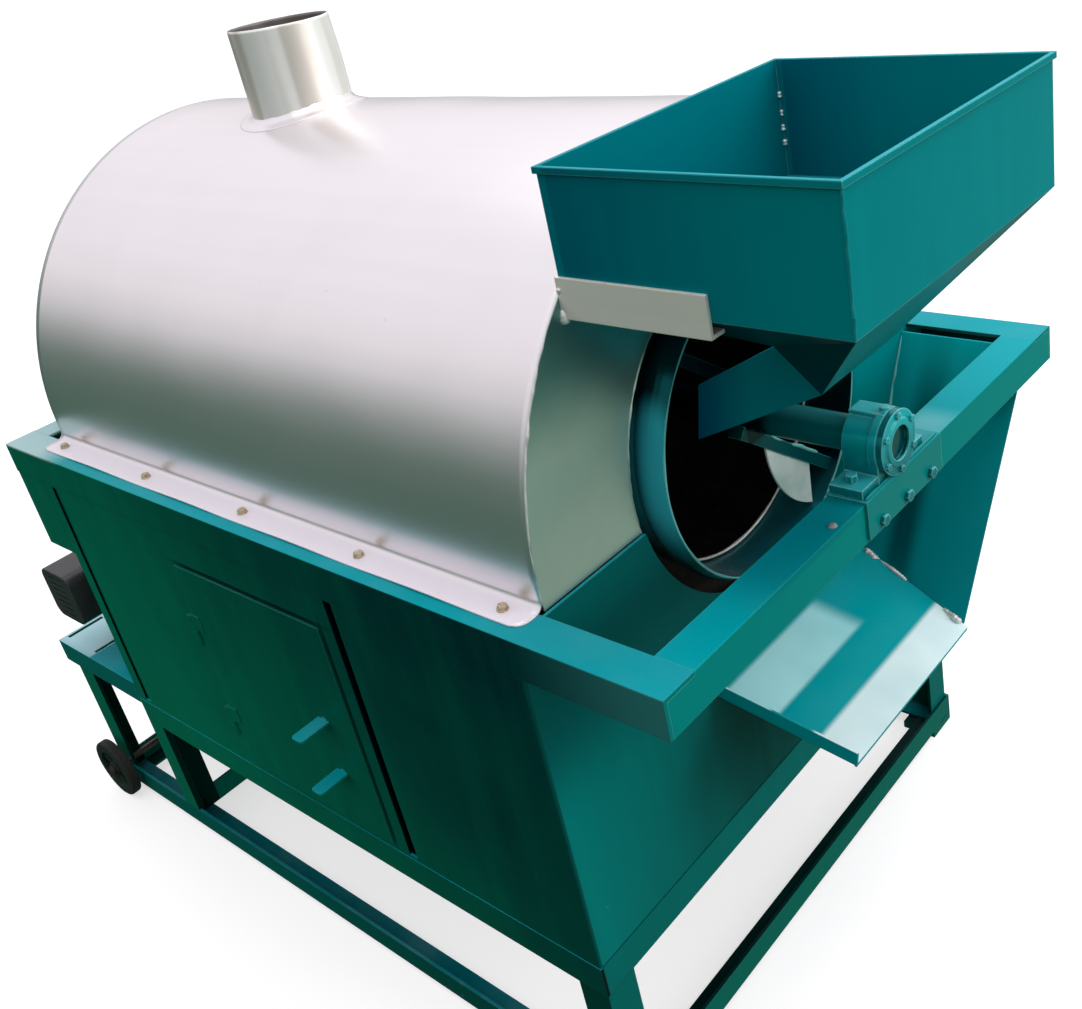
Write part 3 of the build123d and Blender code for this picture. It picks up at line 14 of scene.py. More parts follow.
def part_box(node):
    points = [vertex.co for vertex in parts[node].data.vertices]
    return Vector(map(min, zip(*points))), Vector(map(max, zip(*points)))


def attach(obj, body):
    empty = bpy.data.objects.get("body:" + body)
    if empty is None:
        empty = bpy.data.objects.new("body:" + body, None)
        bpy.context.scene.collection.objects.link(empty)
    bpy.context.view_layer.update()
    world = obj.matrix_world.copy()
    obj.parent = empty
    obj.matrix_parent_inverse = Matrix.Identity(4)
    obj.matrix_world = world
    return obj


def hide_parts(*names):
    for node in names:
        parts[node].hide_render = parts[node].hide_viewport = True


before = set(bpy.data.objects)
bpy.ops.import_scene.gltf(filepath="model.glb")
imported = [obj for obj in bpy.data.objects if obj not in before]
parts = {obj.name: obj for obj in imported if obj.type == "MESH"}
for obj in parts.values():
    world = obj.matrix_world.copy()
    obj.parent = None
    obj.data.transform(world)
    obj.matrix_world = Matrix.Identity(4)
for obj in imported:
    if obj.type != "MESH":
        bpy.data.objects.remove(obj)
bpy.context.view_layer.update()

# %% [markdown]
# ## The camera
#
# The eye stands at the hopper end, a little above the machine, and looks down along the hood. A picture that
# was trimmed after it was taken has its optical centre off the middle, and a lens shift says just that: the
# camera keeps its true direction and the frame slides over the scene.

# %% Place the camera
frame_width, frame_height = 1082, 1009
focal_pixels = 1207.54
optical_centre = (647.18, 430.75)
eye = Vector((1.3503, -1.0761, 1.5183))
to_right = Vector((0.77049, 0.61573, -0.16501))
to_floor = Vector((0.16704, -0.44484, -0.87990))
camera_data = bpy.data.cameras.new("portrait_camera")
camera_data.sensor_width = 36.0
camera_data.lens = camera_data.sensor_width * focal_pixels / frame_width
camera_data.shift_x = (frame_width / 2 - optical_centre[0]) / frame_width
camera_data.shift_y = (optical_centre[1] - frame_height / 2) / frame_width
camera = bpy.data.objects.new("portrait_camera", camera_data)
bpy.context.scene.collection.objects.link(camera)
axes = Matrix((to_right, -to_floor, -to_right.cross(to_floor))).transposed()
camera.matrix_world = Matrix.Translation(eye) @ axes.to_4x4()
bpy.context.scene.camera = camera
print("lens", round(camera_data.lens, 2), "shift", round(camera_data.shift_x, 4), round(camera_data.shift_y, 4))

# %% [markdown]
# ## Small helpers for shader trees
#
# A material is a graph. Short helpers keep the graphs readable: one adds a node and fills its inputs, some give
# what nearly every finish asks for, such as a place, a facing, a noise or a smooth step, and two open a node
# group with named sockets and put it to use.

# %% Shader helpers
finishes = {}


def add_node(tree, kind, feeds=None, **settings):
    """Adds a node of a kind, sets its properties, and links or sets each named input."""
    made = tree.nodes.new("ShaderNode" + kind)
    for key, value in settings.items():
        setattr(made, key, value)
    for key, value in (feeds or {}).items():
        if isinstance(value, bpy.types.NodeSocket):
            tree.links.new(value, made.inputs[key])
        else:
            made.inputs[key].default_value = value
    return made


def new_finish(name):
    """Starts a material, keeps it by its name, and gives its tree and its shader."""
    finishes[name] = bpy.data.materials.new(name)
    finishes[name].use_nodes = True
    tree = finishes[name].node_tree
    return tree, tree.nodes["Principled BSDF"]


def object_place(tree):
    """Gives the place on a piece, in metres in the shared frame."""
    return add_node(tree, "TexCoord").outputs["Object"]


def face_normal(tree):
    """Gives the direction that the surface faces."""
    return add_node(tree, "NewGeometry").outputs["Normal"]


def noise_value(tree, place, scale, detail, **more):
    """Gives a noise over a place, at a scale and with so many finer layers."""
    feeds = {"Vector": place, "Scale": scale, "Detail": detail, **more}
    return add_node(tree, "TexNoise", feeds).outputs["Fac"]


def squeeze(tree, value, low, high, floor=0.0, top=1.0):
    """Gives a smooth step: floor at the low limit, top at the high one."""
    return add_node(tree, "MapRange", {"Value": value, "From Min": low, "From Max": high, "To Min": floor,
                                       "To Max": top}, interpolation_type="SMOOTHSTEP").outputs["Result"]


def calc(tree, operation, first, second=0.0):
    """Gives the result of one sum on two values."""
    return add_node(tree, "Math", {0: first, 1: second}, operation=operation).outputs[0]


def times(tree, first, second):
    """Gives one value times another."""
    return calc(tree, "MULTIPLY", first, second)


def plus(tree, first, second):
    """Gives the sum of two values."""
    return calc(tree, "ADD", first, second)


def vector_calc(tree, operation, first, second=(0, 0, 0)):
    """Gives the result of one sum on two vectors: a value for a dot product, else a vector."""
    made = add_node(tree, "VectorMath", {0: first, 1: second}, operation=operation)
    return made.outputs["Value" if operation == "DOT_PRODUCT" else "Vector"]


def mix_colour(tree, factor, under, over):
    """Gives one colour laid over another by a factor."""
    return add_node(tree, "Mix", {0: factor, 6: under, 7: over}, data_type="RGBA").outputs[2]


def open_group(name, inputs, outputs):
    """Starts a node group with float inputs and float outputs, and gives its tree and both ends."""
    tree = bpy.data.node_groups.new(name, "ShaderNodeTree")
    for label, value in inputs.items():
        tree.interface.new_socket(label, in_out="INPUT", socket_type="NodeSocketFloat").default_value = value
    for label, kind in outputs.items():
        tree.interface.new_socket(label, in_out="OUTPUT", socket_type="NodeSocket" + kind)
    return tree, tree.nodes.new("NodeGroupInput").outputs, tree.nodes.new("NodeGroupOutput").inputs


def use_group(tree, group, **values):
    """Places a group in a tree with its own values; underscores in the names stand for spaces."""
    made = add_node(tree, "Group", node_tree=group)
    for key, value in values.items():
        made.inputs[key.replace("_", " ")].default_value = value
    return made.outputs


print("shader helpers ready")

# %% [markdown]
# ## Effects that several finishes share
#
# Hand-sprayed enamel flows a little, edges lose paint, dust settles on what faces up, and rolled sheet carries
# faint streaks. Each effect is a node group that puts out masks and heights only. The finish that uses it
# decides what the mask means, so the same wear group shows primer on one piece and rust on another.

# %% Enamel flow
def make_enamel_flow():
    """Broad cloudiness and vertical runs in the paint, and a fine orange peel as a height."""
    tree, given, out = open_group("enamel_flow", {"Cloud Scale": 4.0, "Peel Scale": 260.0},
                                  {"Cloud": "Float", "Runs": "Float", "Height": "Float"})
    place = object_place(tree)
    cloud = noise_value(tree, place, given["Cloud Scale"], 3.0, Roughness=0.55)
    tree.links.new(squeeze(tree, cloud, 0.32, 0.68), out["Cloud"])
    stretched = add_node(tree, "Mapping", {"Vector": place, "Scale": (26.0, 26.0, 2.2)}).outputs["Vector"]
    runs = noise_value(tree, stretched, 1.0, 4.0)
    tree.links.new(squeeze(tree, runs, 0.40, 0.72), out["Runs"])
    peel = noise_value(tree, place, given["Peel Scale"], 1.0)
    sag = noise_value(tree, place, 22.0, 1.0)
    tree.links.new(plus(tree, times(tree, peel, 0.10), sag), out["Height"])
    return tree


enamel_flow = make_enamel_flow()
print("group", enamel_flow.name, "nodes", len(enamel_flow.nodes))

# %% Edge wear
def make_edge_wear():
    """A mask where the surface turns sharply within a width, broken up by noise, and the rounded normal."""
    tree, given, out = open_group("edge_wear", {"Width": 0.002, "Breakup Scale": 60.0, "Keep": 0.5},
                                  {"Mask": "Float", "Line": "Float", "Normal": "Vector"})
    rounded = add_node(tree, "Bevel", {"Radius": given["Width"]}, samples=4).outputs["Normal"]
    flat = face_normal(tree)
    facing = vector_calc(tree, "DOT_PRODUCT", rounded, flat)
    line = squeeze(tree, facing, 0.985, 0.80)
    place = object_place(tree)
    noise = noise_value(tree, place, given["Breakup Scale"], 5.0, Roughness=0.65)
    high = plus(tree, given["Keep"], 0.12)
    broken = add_node(tree, "MapRange", {"Value": noise, "From Min": given["Keep"], "From Max": high})
    tree.links.new(times(tree, line, broken.outputs["Result"]), out["Mask"])
    tree.links.new(line, out["Line"])
    tree.links.new(rounded, out["Normal"])
    return tree


edge_wear = make_edge_wear()
print("group", edge_wear.name, "nodes", len(edge_wear.nodes))

# %% Settled dust and small marks
def make_settled_dust():
    """A mask of dust on faces that look up, thicker in clouds, with a fine grit in it."""
    tree, given, out = open_group("settled_dust", {"Amount": 0.3}, {"Mask": "Float"})
    up = add_node(tree, "SeparateXYZ", {0: face_normal(tree)}).outputs["Z"]
    place = object_place(tree)
    clouds = noise_value(tree, place, 9.0, 6.0)
    grit = noise_value(tree, place, 420.0, 2.0)
    lying = times(tree, squeeze(tree, up, 0.35, 0.95), squeeze(tree, clouds, 0.35, 0.75))
    gritty = times(tree, lying, squeeze(tree, grit, 0.25, 0.7, 0.55, 1.0))
    tree.links.new(times(tree, gritty, given["Amount"]), out["Mask"])
    return tree


def make_small_marks():
    """A mask of chips and specks: the cores of scattered cells, kept only where a broad noise is high."""
    tree, given, out = open_group("small_marks", {"Scale": 45.0, "Size": 0.16, "Keep": 0.56}, {"Mask": "Float"})
    place = object_place(tree)
    bent = add_node(tree, "TexNoise", {"Vector": place, "Scale": 90.0, "Detail": 2.0}).outputs["Color"]
    moved = add_node(tree, "VectorMath", {0: bent, 3: 0.012}, operation="SCALE").outputs[0]
    shifted = vector_calc(tree, "ADD", place, moved)
    cell = add_node(tree, "TexVoronoi", {"Vector": shifted, "Scale": given["Scale"]}).outputs["Distance"]
    inner = times(tree, given["Size"], 0.6)
    core = add_node(tree, "MapRange", {"Value": cell, "From Min": given["Size"], "From Max": inner})
    broad = noise_value(tree, place, 6.0, 3.0)
    high = plus(tree, given["Keep"], 0.05)
    where = add_node(tree, "MapRange", {"Value": broad, "From Min": given["Keep"], "From Max": high})
    tree.links.new(times(tree, core.outputs["Result"], where.outputs["Result"]), out["Mask"])
    return tree


settled_dust = make_settled_dust()
small_marks = make_small_marks()
print("groups", settled_dust.name, small_marks.name)

# %% Painted sky light on tops
def make_sky_light_tops():
    """A mask of painted sky light on faces that look up, a little uneven in broad clouds."""
    tree, given, out = open_group("sky_light_tops", {"Amount": 0.8}, {"Mask": "Float"})
    up = add_node(tree, "SeparateXYZ", {0: face_normal(tree)}).outputs["Z"]
    place = object_place(tree)
    broad = noise_value(tree, place, 5.0, 2.0)
    level = times(tree, squeeze(tree, up, 0.55, 0.96), squeeze(tree, broad, 0.3, 0.7, 0.84, 1.0))
    tree.links.new(times(tree, level, given["Amount"]), out["Mask"])
    return tree


sky_light_tops = make_sky_light_tops()
print("group", sky_light_tops.name, "nodes", len(sky_light_tops.nodes))

# %% Rolled sheet
def make_rolled_sheet():
    """Faint streaks along the rolling direction X, blotches, and a fine grain as a height."""
    tree, given, out = open_group("rolled_sheet", {"Streak Scale": 1.0, "Grain Scale": 700.0},
                                  {"Streak": "Float", "Blotch": "Float", "Height": "Float"})
    place = object_place(tree)
    drawn = add_node(tree, "Mapping", {"Vector": place, "Scale": (1.4, 34.0, 34.0)}).outputs["Vector"]
    streak = noise_value(tree, drawn, given["Streak Scale"], 1.0)
    tree.links.new(squeeze(tree, streak, 0.35, 0.68), out["Streak"])
    blotch = noise_value(tree, place, 7.0, 1.5, Roughness=0.5)
    tree.links.new(squeeze(tree, blotch, 0.42, 0.75), out["Blotch"])
    grain = noise_value(tree, place, given["Grain Scale"], 2.0)
    tree.links.new(grain, out["Height"])
    return tree


rolled_sheet = make_rolled_sheet()
print("group", rolled_sheet.name, "nodes", len(rolled_sheet.nodes))

# %% [markdown]
# ## Teal enamel
#
# The whole stand, the hopper and the bearing are sprayed with one gloss enamel. Each piece goes from a deep,
# shaded tint to a thin, lit one along a light drift, which is painted light and shade: brighter where light
# falls, darker where shade falls, with the paint's own random clouds and runs mixed in. Faces that look up take
# painted sky light and throw back the sky in a clear coat, and sharp edges get a painted highlight. Pale
# patches on tops are painted sky reflections, and boxes and veils of other tints paint light and shade. One
# function mixes the finish, and each batch of panels gets its own tints.

# %% Masks by place and by facing
def patch_mask(tree, place, middle, reach, soft):
    """A mask of 1 inside a box about a middle, falling to 0 over a soft share of its reach on each axis."""
    away = vector_calc(tree, "SUBTRACT", place, middle)
    share = vector_calc(tree, "DIVIDE", away, reach)
    size = vector_calc(tree, "ABSOLUTE", share)
    axes = add_node(tree, "SeparateXYZ", {0: size})
    inside = [squeeze(tree, axes.outputs[axis], 1.0 + soft, 1.0 - soft) for axis in "XYZ"]
    return times(tree, times(tree, inside[0], inside[1]), inside[2])


def slope_mask(tree, vector, direction, low, high):
    """A smooth step of a vector's reach along a direction; the vector may be a place or a facing."""
    along = vector_calc(tree, "DOT_PRODUCT", vector, direction)
    return squeeze(tree, along, low, high)


print("masks ready")

# %% Mix the enamel
# Pale, white and grey sky sheens are painted sky reflections; shade black is painted shade.
pale_sky_sheen, white_sky_sheen = (0.54, 0.98, 1.0), (0.84, 1.0, 1.0)
shade_black = (0.0, 0.004, 0.006)
grey_sky_sheen = (0.46, 0.58, 0.58)
scuffed, dusted, sky_shine = (0.10, 0.30, 0.28, 1), (0.34, 0.50, 0.50, 1), (0.06, 0.95, 1.0, 1.0)
light_drift_share, cloud_share, run_share = 0.80, 0.12, 0.08


def enamel(name, deep, thin, top_tint, light_drift=((0, 0, 1), 0.0, 1.0), gloss=0.26, dust=0.06, wear=0.66, top_share=0.9,
           edge=0.10, shine=0.03, rim=0.0018, glint=(0.14, 0.68, 0.68), pale=(), light_and_shade_boxes=(), light_and_shade_veils=()):
    """Mixes a gloss paint: deep, the shaded tint, to thin, the lit one, along a light drift of painted light
    and shade; a top tint on faces that look up, which is painted sky light or, where it is dark, painted shade;
    worn edges with a painted highlight along them; and settled dust. Pale patches lie on faces that look up and
    are painted sky reflections. Boxes and veils paint light and shade in other tints, boxes by place and veils
    by place or by facing. A patch or box gives its middle, half size, softness, amount and tint. A veil gives
    what it goes by, its direction, where it starts and where it is full, its tint and its amount."""
    tree, coat = new_finish(name)
    place = object_place(tree)
    facing = face_normal(tree)
    flow = use_group(tree, enamel_flow, Cloud_Scale=3.5, Peel_Scale=240.0)
    worn = use_group(tree, edge_wear, Width=rim, Breakup_Scale=70.0, Keep=wear)
    dusty = use_group(tree, settled_dust, Amount=dust)
    marks = use_group(tree, small_marks, Scale=38.0, Size=0.10, Keep=0.66)
    sky_lit = use_group(tree, sky_light_tops, Amount=top_share)
    # The light drift paints light and shade; clouds and runs are the paint's own random tone.
    tone = times(tree, slope_mask(tree, place, *light_drift), light_drift_share)
    tone = plus(tree, tone, times(tree, flow["Cloud"], cloud_share))
    tone = plus(tree, tone, times(tree, flow["Runs"], run_share))
    colour = mix_colour(tree, tone, (*deep, 1), (*thin, 1))
    # Veils paint light and shade by place or by facing.
    for by, direction, low, high, tint, amount in light_and_shade_veils:
        painted_veil = slope_mask(tree, place if by == "place" else facing, direction, low, high)
        colour = mix_colour(tree, times(tree, painted_veil, amount), colour, (*tint, 1))
    # Faces that look up take the top tint: painted sky light, or painted shade where the tint is dark.
    colour = mix_colour(tree, sky_lit["Mask"], colour, (*top_tint, 1))
    # A line along sharp edges takes the glint tint: a painted highlight.
    colour = mix_colour(tree, times(tree, worn["Line"], edge), colour, (*glint, 1))
    scuffs = times(tree, calc(tree, "MAXIMUM", worn["Mask"], marks["Mask"]), 0.5)
    colour = mix_colour(tree, scuffs, colour, scuffed)
    colour = mix_colour(tree, dusty["Mask"], colour, dusted)
    # Pale patches on faces that look up are painted sky reflections.
    for middle, reach, soft, amount, tint in pale:
        level = slope_mask(tree, facing, (0, 0, 1), 0.5, 0.9)
        lying = times(tree, patch_mask(tree, place, middle, reach, soft), level)
        uneven = squeeze(tree, flow["Cloud"], -1.4, 0.7)
        mask = times(tree, times(tree, lying, amount), uneven)
        colour = mix_colour(tree, mask, colour, (*tint, 1))
    # Boxes of other tints paint light and shade in place.
    for middle, reach, soft, amount, tint in light_and_shade_boxes:
        mask = times(tree, patch_mask(tree, place, middle, reach, soft), amount)
        colour = mix_colour(tree, mask, colour, (*tint, 1))
    tree.links.new(colour, coat.inputs["Base Color"])
    rough = plus(tree, times(tree, flow["Cloud"], 0.10), gloss - 0.05)
    rough = plus(tree, rough, times(tree, dusty["Mask"], 0.5))
    tree.links.new(rough, coat.inputs["Roughness"])
    tree.links.new(times(tree, sky_lit["Mask"], 0.03), coat.inputs["Coat Weight"])
    bump = add_node(tree, "Bump", {"Strength": 0.06, "Distance": 0.004, "Height": flow["Height"],
                                   "Normal": worn["Normal"]})
    tree.links.new(bump.outputs["Normal"], coat.inputs["Normal"])
    coat.inputs["Specular IOR Level"].default_value = shine
    coat.inputs["Specular Tint"].default_value = sky_shine
    coat.inputs["Coat Roughness"].default_value = 0.16


print("enamel recipe ready")

# %% Enamel for the body
sky_teal = (0.0, 0.305, 0.355)
side_deep, side_thin = (0.0, 0.010, 0.023), (0.0, 0.200, 0.112)
# The side drift makes panels lighter towards the rear and the bottom, darker towards the front and the top:
# painted light and shade.
side_light_drift = ((-0.8, 0, -0.6), -1.00, 0.30)
rim_deep, rim_thin = (0.0, 0.185, 0.172), (0.0, 0.235, 0.215)
# Front lit teal is painted light on faces that look to the front.
front_lit_teal = (0.0, 0.190, 0.176)
# Faces that look to the front take painted shade, and a box paints shade on the leg behind the near panel's
# rear slot.
enamel("body_enamel", side_deep, side_thin, sky_teal, side_light_drift,
       light_and_shade_veils=[("facing", (1, 0, 0), 0.5, 0.9, shade_black, 0.92)],
       light_and_shade_boxes=[((-0.541, -0.44, 0.52), (0.012, 0.004, 0.23), 0.1, 0.97, shade_black)])
near_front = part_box("near_panel")[1].x
door_low, door_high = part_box("fire_door")
door_mid, door_half = (door_low + door_high) / 2, (door_high - door_low) / 2
# The bands over and beside the fire door are painted shade in its joint.
door_face, joint_depth, joint_shade = -0.45, 0.01, 0.0032
over_door = ((door_mid.x, door_face, door_high.z + joint_shade), (door_half.x, joint_depth, joint_shade))
beside_door = ((door_high.x + joint_shade, door_face, door_mid.z), (joint_shade, joint_depth, door_half.z))
# Faces set back behind the near panel's outer face take painted shade, a mid teal strip runs along its front
# edge, and the door's joint takes painted shade.
enamel("near_enamel", side_deep, side_thin, sky_teal, side_light_drift,
       light_and_shade_veils=[("place", (0, 1, 0), -0.4489, -0.4484, shade_black, 0.97)],
       light_and_shade_boxes=[((near_front, -0.447, 0.54), (0.003, 0.006, 0.30), 0.1, 1.0, (0.0, 0.075, 0.066)),
               (*over_door, 0.2, 0.8, shade_black), (*beside_door, 0.2, 0.7, shade_black)])
enamel("door_enamel", side_deep, side_thin, (0.0, 0.10, 0.10), side_light_drift, top_share=0.5, edge=0.26)
enamel("latch_enamel", rim_deep, rim_thin, sky_teal, edge=0.3)
print("body batches:", len(finishes))

# %% Enamel for the rim and the stand
rim_top, sheen_depth = 0.795, 0.003
# On the near side rim a grey sky sheen at the rear top is a painted sky reflection; the rail lightens towards
# the front and faces that look to the front take front lit teal: painted light.
enamel("side_rim_enamel", side_deep, side_thin, sky_teal, side_light_drift, gloss=0.24, edge=0.22,
       light_and_shade_boxes=[((-0.62, -0.43, rim_top), (0.10, 0.06, sheen_depth), 0.5, 0.70, grey_sky_sheen)],
       light_and_shade_veils=[("place", (1, 0, 0), 0.48, 0.72, (0.03, 0.195, 0.188), 0.85),
              ("facing", (1, 0, 0), 0.5, 0.9, front_lit_teal, 1.0)])
# On the end rails the edges take a painted highlight, a pale patch and a grey sky sheen at the rear are painted
# sky reflections, and a dark box beside the bearing is painted shade under the hopper.
enamel("end_rim_enamel", rim_deep, rim_thin, sky_teal, gloss=0.24, edge=0.70, dust=0.02,
       pale=[((0.69, 0.12, 0.80), (0.03, 0.035, 0.03), 0.7, 0.20, pale_sky_sheen)],
       light_and_shade_boxes=[((0.69, -0.18, 0.80), (0.03, 0.09, 0.012), 0.5, 0.5, (0.0, 0.12, 0.15)),
               ((-0.64, -0.34, rim_top), (0.06, 0.16, sheen_depth), 0.5, 0.70, grey_sky_sheen)])
# The front panel darkens towards the far side and the chute, and towards the top under the rim and the hopper:
# painted shade. A box lightens its far upper part: painted light.
enamel("front_enamel", (0.0, 0.046, 0.040), (0.0, 0.205, 0.190), sky_teal,
       ((0, -1, 0), 0.04, 0.48), gloss=0.22,
       light_and_shade_veils=[("place", (0, 0, 1), 0.52, 0.66, (0.0, 0.092, 0.090), 0.85)],
       light_and_shade_boxes=[((0.515, 0.33, 0.75), (0.01, 0.11, 0.09), 0.4, 0.9, (0.0, 0.225, 0.240))])
# Leg tops take black and faces that look to the near side darken: painted shade.
enamel("leg_enamel", (0.0, 0.118, 0.104), (0.0, 0.222, 0.203), shade_black, gloss=0.24, edge=0.02,
       light_and_shade_veils=[("facing", (0, -1, 0), 0.5, 0.9, (0.0, 0.045, 0.030), 0.9)])
# The side sills lighten towards the rear: painted light and shade.
enamel("stand_enamel", (0.0, 0.074, 0.058), (0.0, 0.125, 0.104), (0.0, 0.155, 0.190),
       ((-1, 0, 0), -0.30, 0.45), dust=0.12, wear=0.58)
# Sill tops take black: painted shade.
enamel("sill_enamel", (0.0, 0.125, 0.092), (0.0, 0.180, 0.140), shade_black, dust=0.03, wear=0.58)
# The pale patch on the platform top is a painted sky reflection.
enamel("platform_enamel", (0.0, 0.150, 0.130), (0.0, 0.180, 0.160), (0.0, 0.300, 0.360),
       edge=0.4,
       pale=[((-0.80, 0.0, 0.33), (0.066, 0.46, 0.03), 0.06, 0.88, (0.52, 0.76, 0.80))])
print("body and stand batches:", len(finishes))

# %% Enamel for the feed and the chute
# The pale patches on the tray are painted sky reflections.
enamel("tray_enamel", (0.0, 0.310, 0.340), (0.0, 0.350, 0.380), (0.0, 0.340, 0.375), gloss=0.20,
       dust=0.04, edge=0.3,
       pale=[((0.558, -0.08, 0.49), (0.038, 0.15, 0.10), 0.12, 0.80, pale_sky_sheen),
             ((0.690, -0.10, 0.475), (0.032, 0.30, 0.10), 0.15, 0.95, white_sky_sheen)])
# The cheek lightens upward, and a dark box in its middle is painted shade.
enamel("cheek_enamel", (0.0, 0.265, 0.290), (0.0, 0.285, 0.300), sky_teal,
       ((0, 0, 1), 0.52, 0.78), gloss=0.22,
       light_and_shade_boxes=[((0.58, 0.26, 0.60), (0.022, 0.20, 0.14), 0.7, 0.92, (0.0, 0.066, 0.078))])
# The hopper lightens towards the front, a box lightens its rear wall, and its hem edges take a near-white
# painted highlight: painted light.
enamel("hopper_enamel", (0.0, 0.108, 0.152), (0.0, 0.238, 0.248), sky_teal,
       ((1, 0, 0), 0.50, 0.86), gloss=0.30, edge=0.80, glint=(0.36, 0.84, 0.86),
       light_and_shade_boxes=[((0.515, -0.06, 1.18), (0.006, 0.24, 0.14), 0.3, 0.7, (0.0, 0.205, 0.235))])
# Funnel faces that look to the near side take painted shade, which gives way to the lit tint on the far half;
# the funnel lightens towards the front: painted light.
enamel("funnel_enamel", (0.0, 0.120, 0.150), (0.0, 0.230, 0.245), sky_teal,
       ((1, 0, 0), 0.54, 0.80), gloss=0.34,
       light_and_shade_veils=[("facing", (0, -1, 0), 0.15, 0.6, (0.0, 0.020, 0.028), 0.85),
              ("place", (0, 1, 0), -0.09, -0.03, (0.0, 0.212, 0.228), 1.0)])
# The spout lightens towards the front: painted light.
enamel("spout_enamel", (0.0, 0.075, 0.150), (0.0, 0.200, 0.225), sky_teal,
       ((1, 0, 0), 0.54, 0.64), gloss=0.30, edge=0.2)
print("with the feed and the chute:", len(finishes))

# %% Enamel for the bearing and the drum mouth
drum_axis_z = 0.84
cap_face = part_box("front_bearing_cover")[1].x
# The cover's side wall and the hollow in its face take painted shade.
cover_wall = ((cap_face - 0.0070, 0.0, drum_axis_z), (0.0034, 0.1, 0.1))
cap_hollow = ((cap_face - 0.0065, 0.0, drum_axis_z), (0.0040, 0.0205, 0.0205))
# The bearing lightens towards the top and its edges take a near-white painted highlight.
enamel("bearing_enamel", (0.0, 0.105, 0.118), (0.0, 0.480, 0.510), (0.04, 0.560, 0.600),
       ((0, 0, 1), 0.80, 0.885), gloss=0.14, wear=0.50, edge=1.0, shine=0.80, rim=0.0028,
       glint=(0.34, 0.86, 0.88),
       light_and_shade_boxes=[(*cover_wall, 0.2, 0.75, (0.0, 0.070, 0.076)),
               (*cap_hollow, 0.05, 1.0, (0.0, 0.040, 0.046))])
# The bracket's edges take a painted highlight.
enamel("bracket_enamel", (0.0, 0.165, 0.155), (0.0, 0.215, 0.200), (0.02, 0.36, 0.40),
       gloss=0.20, wear=0.56, edge=1.0, shine=0.15)
# The mouth's lower part and boxes inside it take painted shade.
enamel("mouth_enamel", (0.015, 0.250, 0.320), (0.03, 0.380, 0.460), (0.0, 0.30, 0.36),
       gloss=0.20, top_share=0.3, shine=0.60, light_and_shade_veils=[("place", (0, 0, 1), 0.82, 0.71, shade_black, 0.95)],
       light_and_shade_boxes=[((0.51, 0.0, 0.96), (0.03, 0.185, 0.09), 0.05, 0.95, shade_black),
               ((0.50, 0.12, 0.92), (0.038, 0.12, 0.10), 0.05, 0.95, shade_black),
               ((0.50, 0.20, 0.77), (0.046, 0.07, 0.07), 0.1, 0.95, shade_black)])
# The shaft takes painted shade where it runs into the drum, along its inner part and on the upper spoke.
enamel("shaft_enamel", (0.0, 0.085, 0.095), (0.0, 0.135, 0.145), (0.02, 0.24, 0.25), gloss=0.22,
       shine=0.3, edge=0.7, light_and_shade_veils=[("place", (1, 0, 0), 0.56, 0.50, shade_black, 1.0)],
       light_and_shade_boxes=[((0.515, 0.0, 0.96), (0.03, 0.27, 0.105), 0.05, 0.98, shade_black),
               ((0.25, 0.0, drum_axis_z), (0.30, 0.03, 0.03), 0.04, 0.98, shade_black)])
enamel("worn_enamel", (0.10, 0.42, 0.42), (0.16, 0.50, 0.49), (0.24, 0.58, 0.57), edge=0.2)
print("enamel batches:", list(finishes))

# %% [markdown]
# ## Silver sheet
#
# The hood is thin sheet brushed over with aluminium paint. Flakes of metal in the paint make it reflect like
# satin metal: bright where it mirrors the sky, dark where it mirrors the ground. The rolling direction shows
# as faint streaks along the drum axis, and damp has left soft blotches.

# %% Mix the silver
flange_white, run_beige, flue_soot_and_shade = (0.74, 0.70, 0.75, 1), (0.60, 0.54, 0.46, 1), (0.10, 0.09, 0.085, 1)
edge_brown, speck_brown = (0.16, 0.12, 0.09, 1), (0.30, 0.24, 0.20, 1)


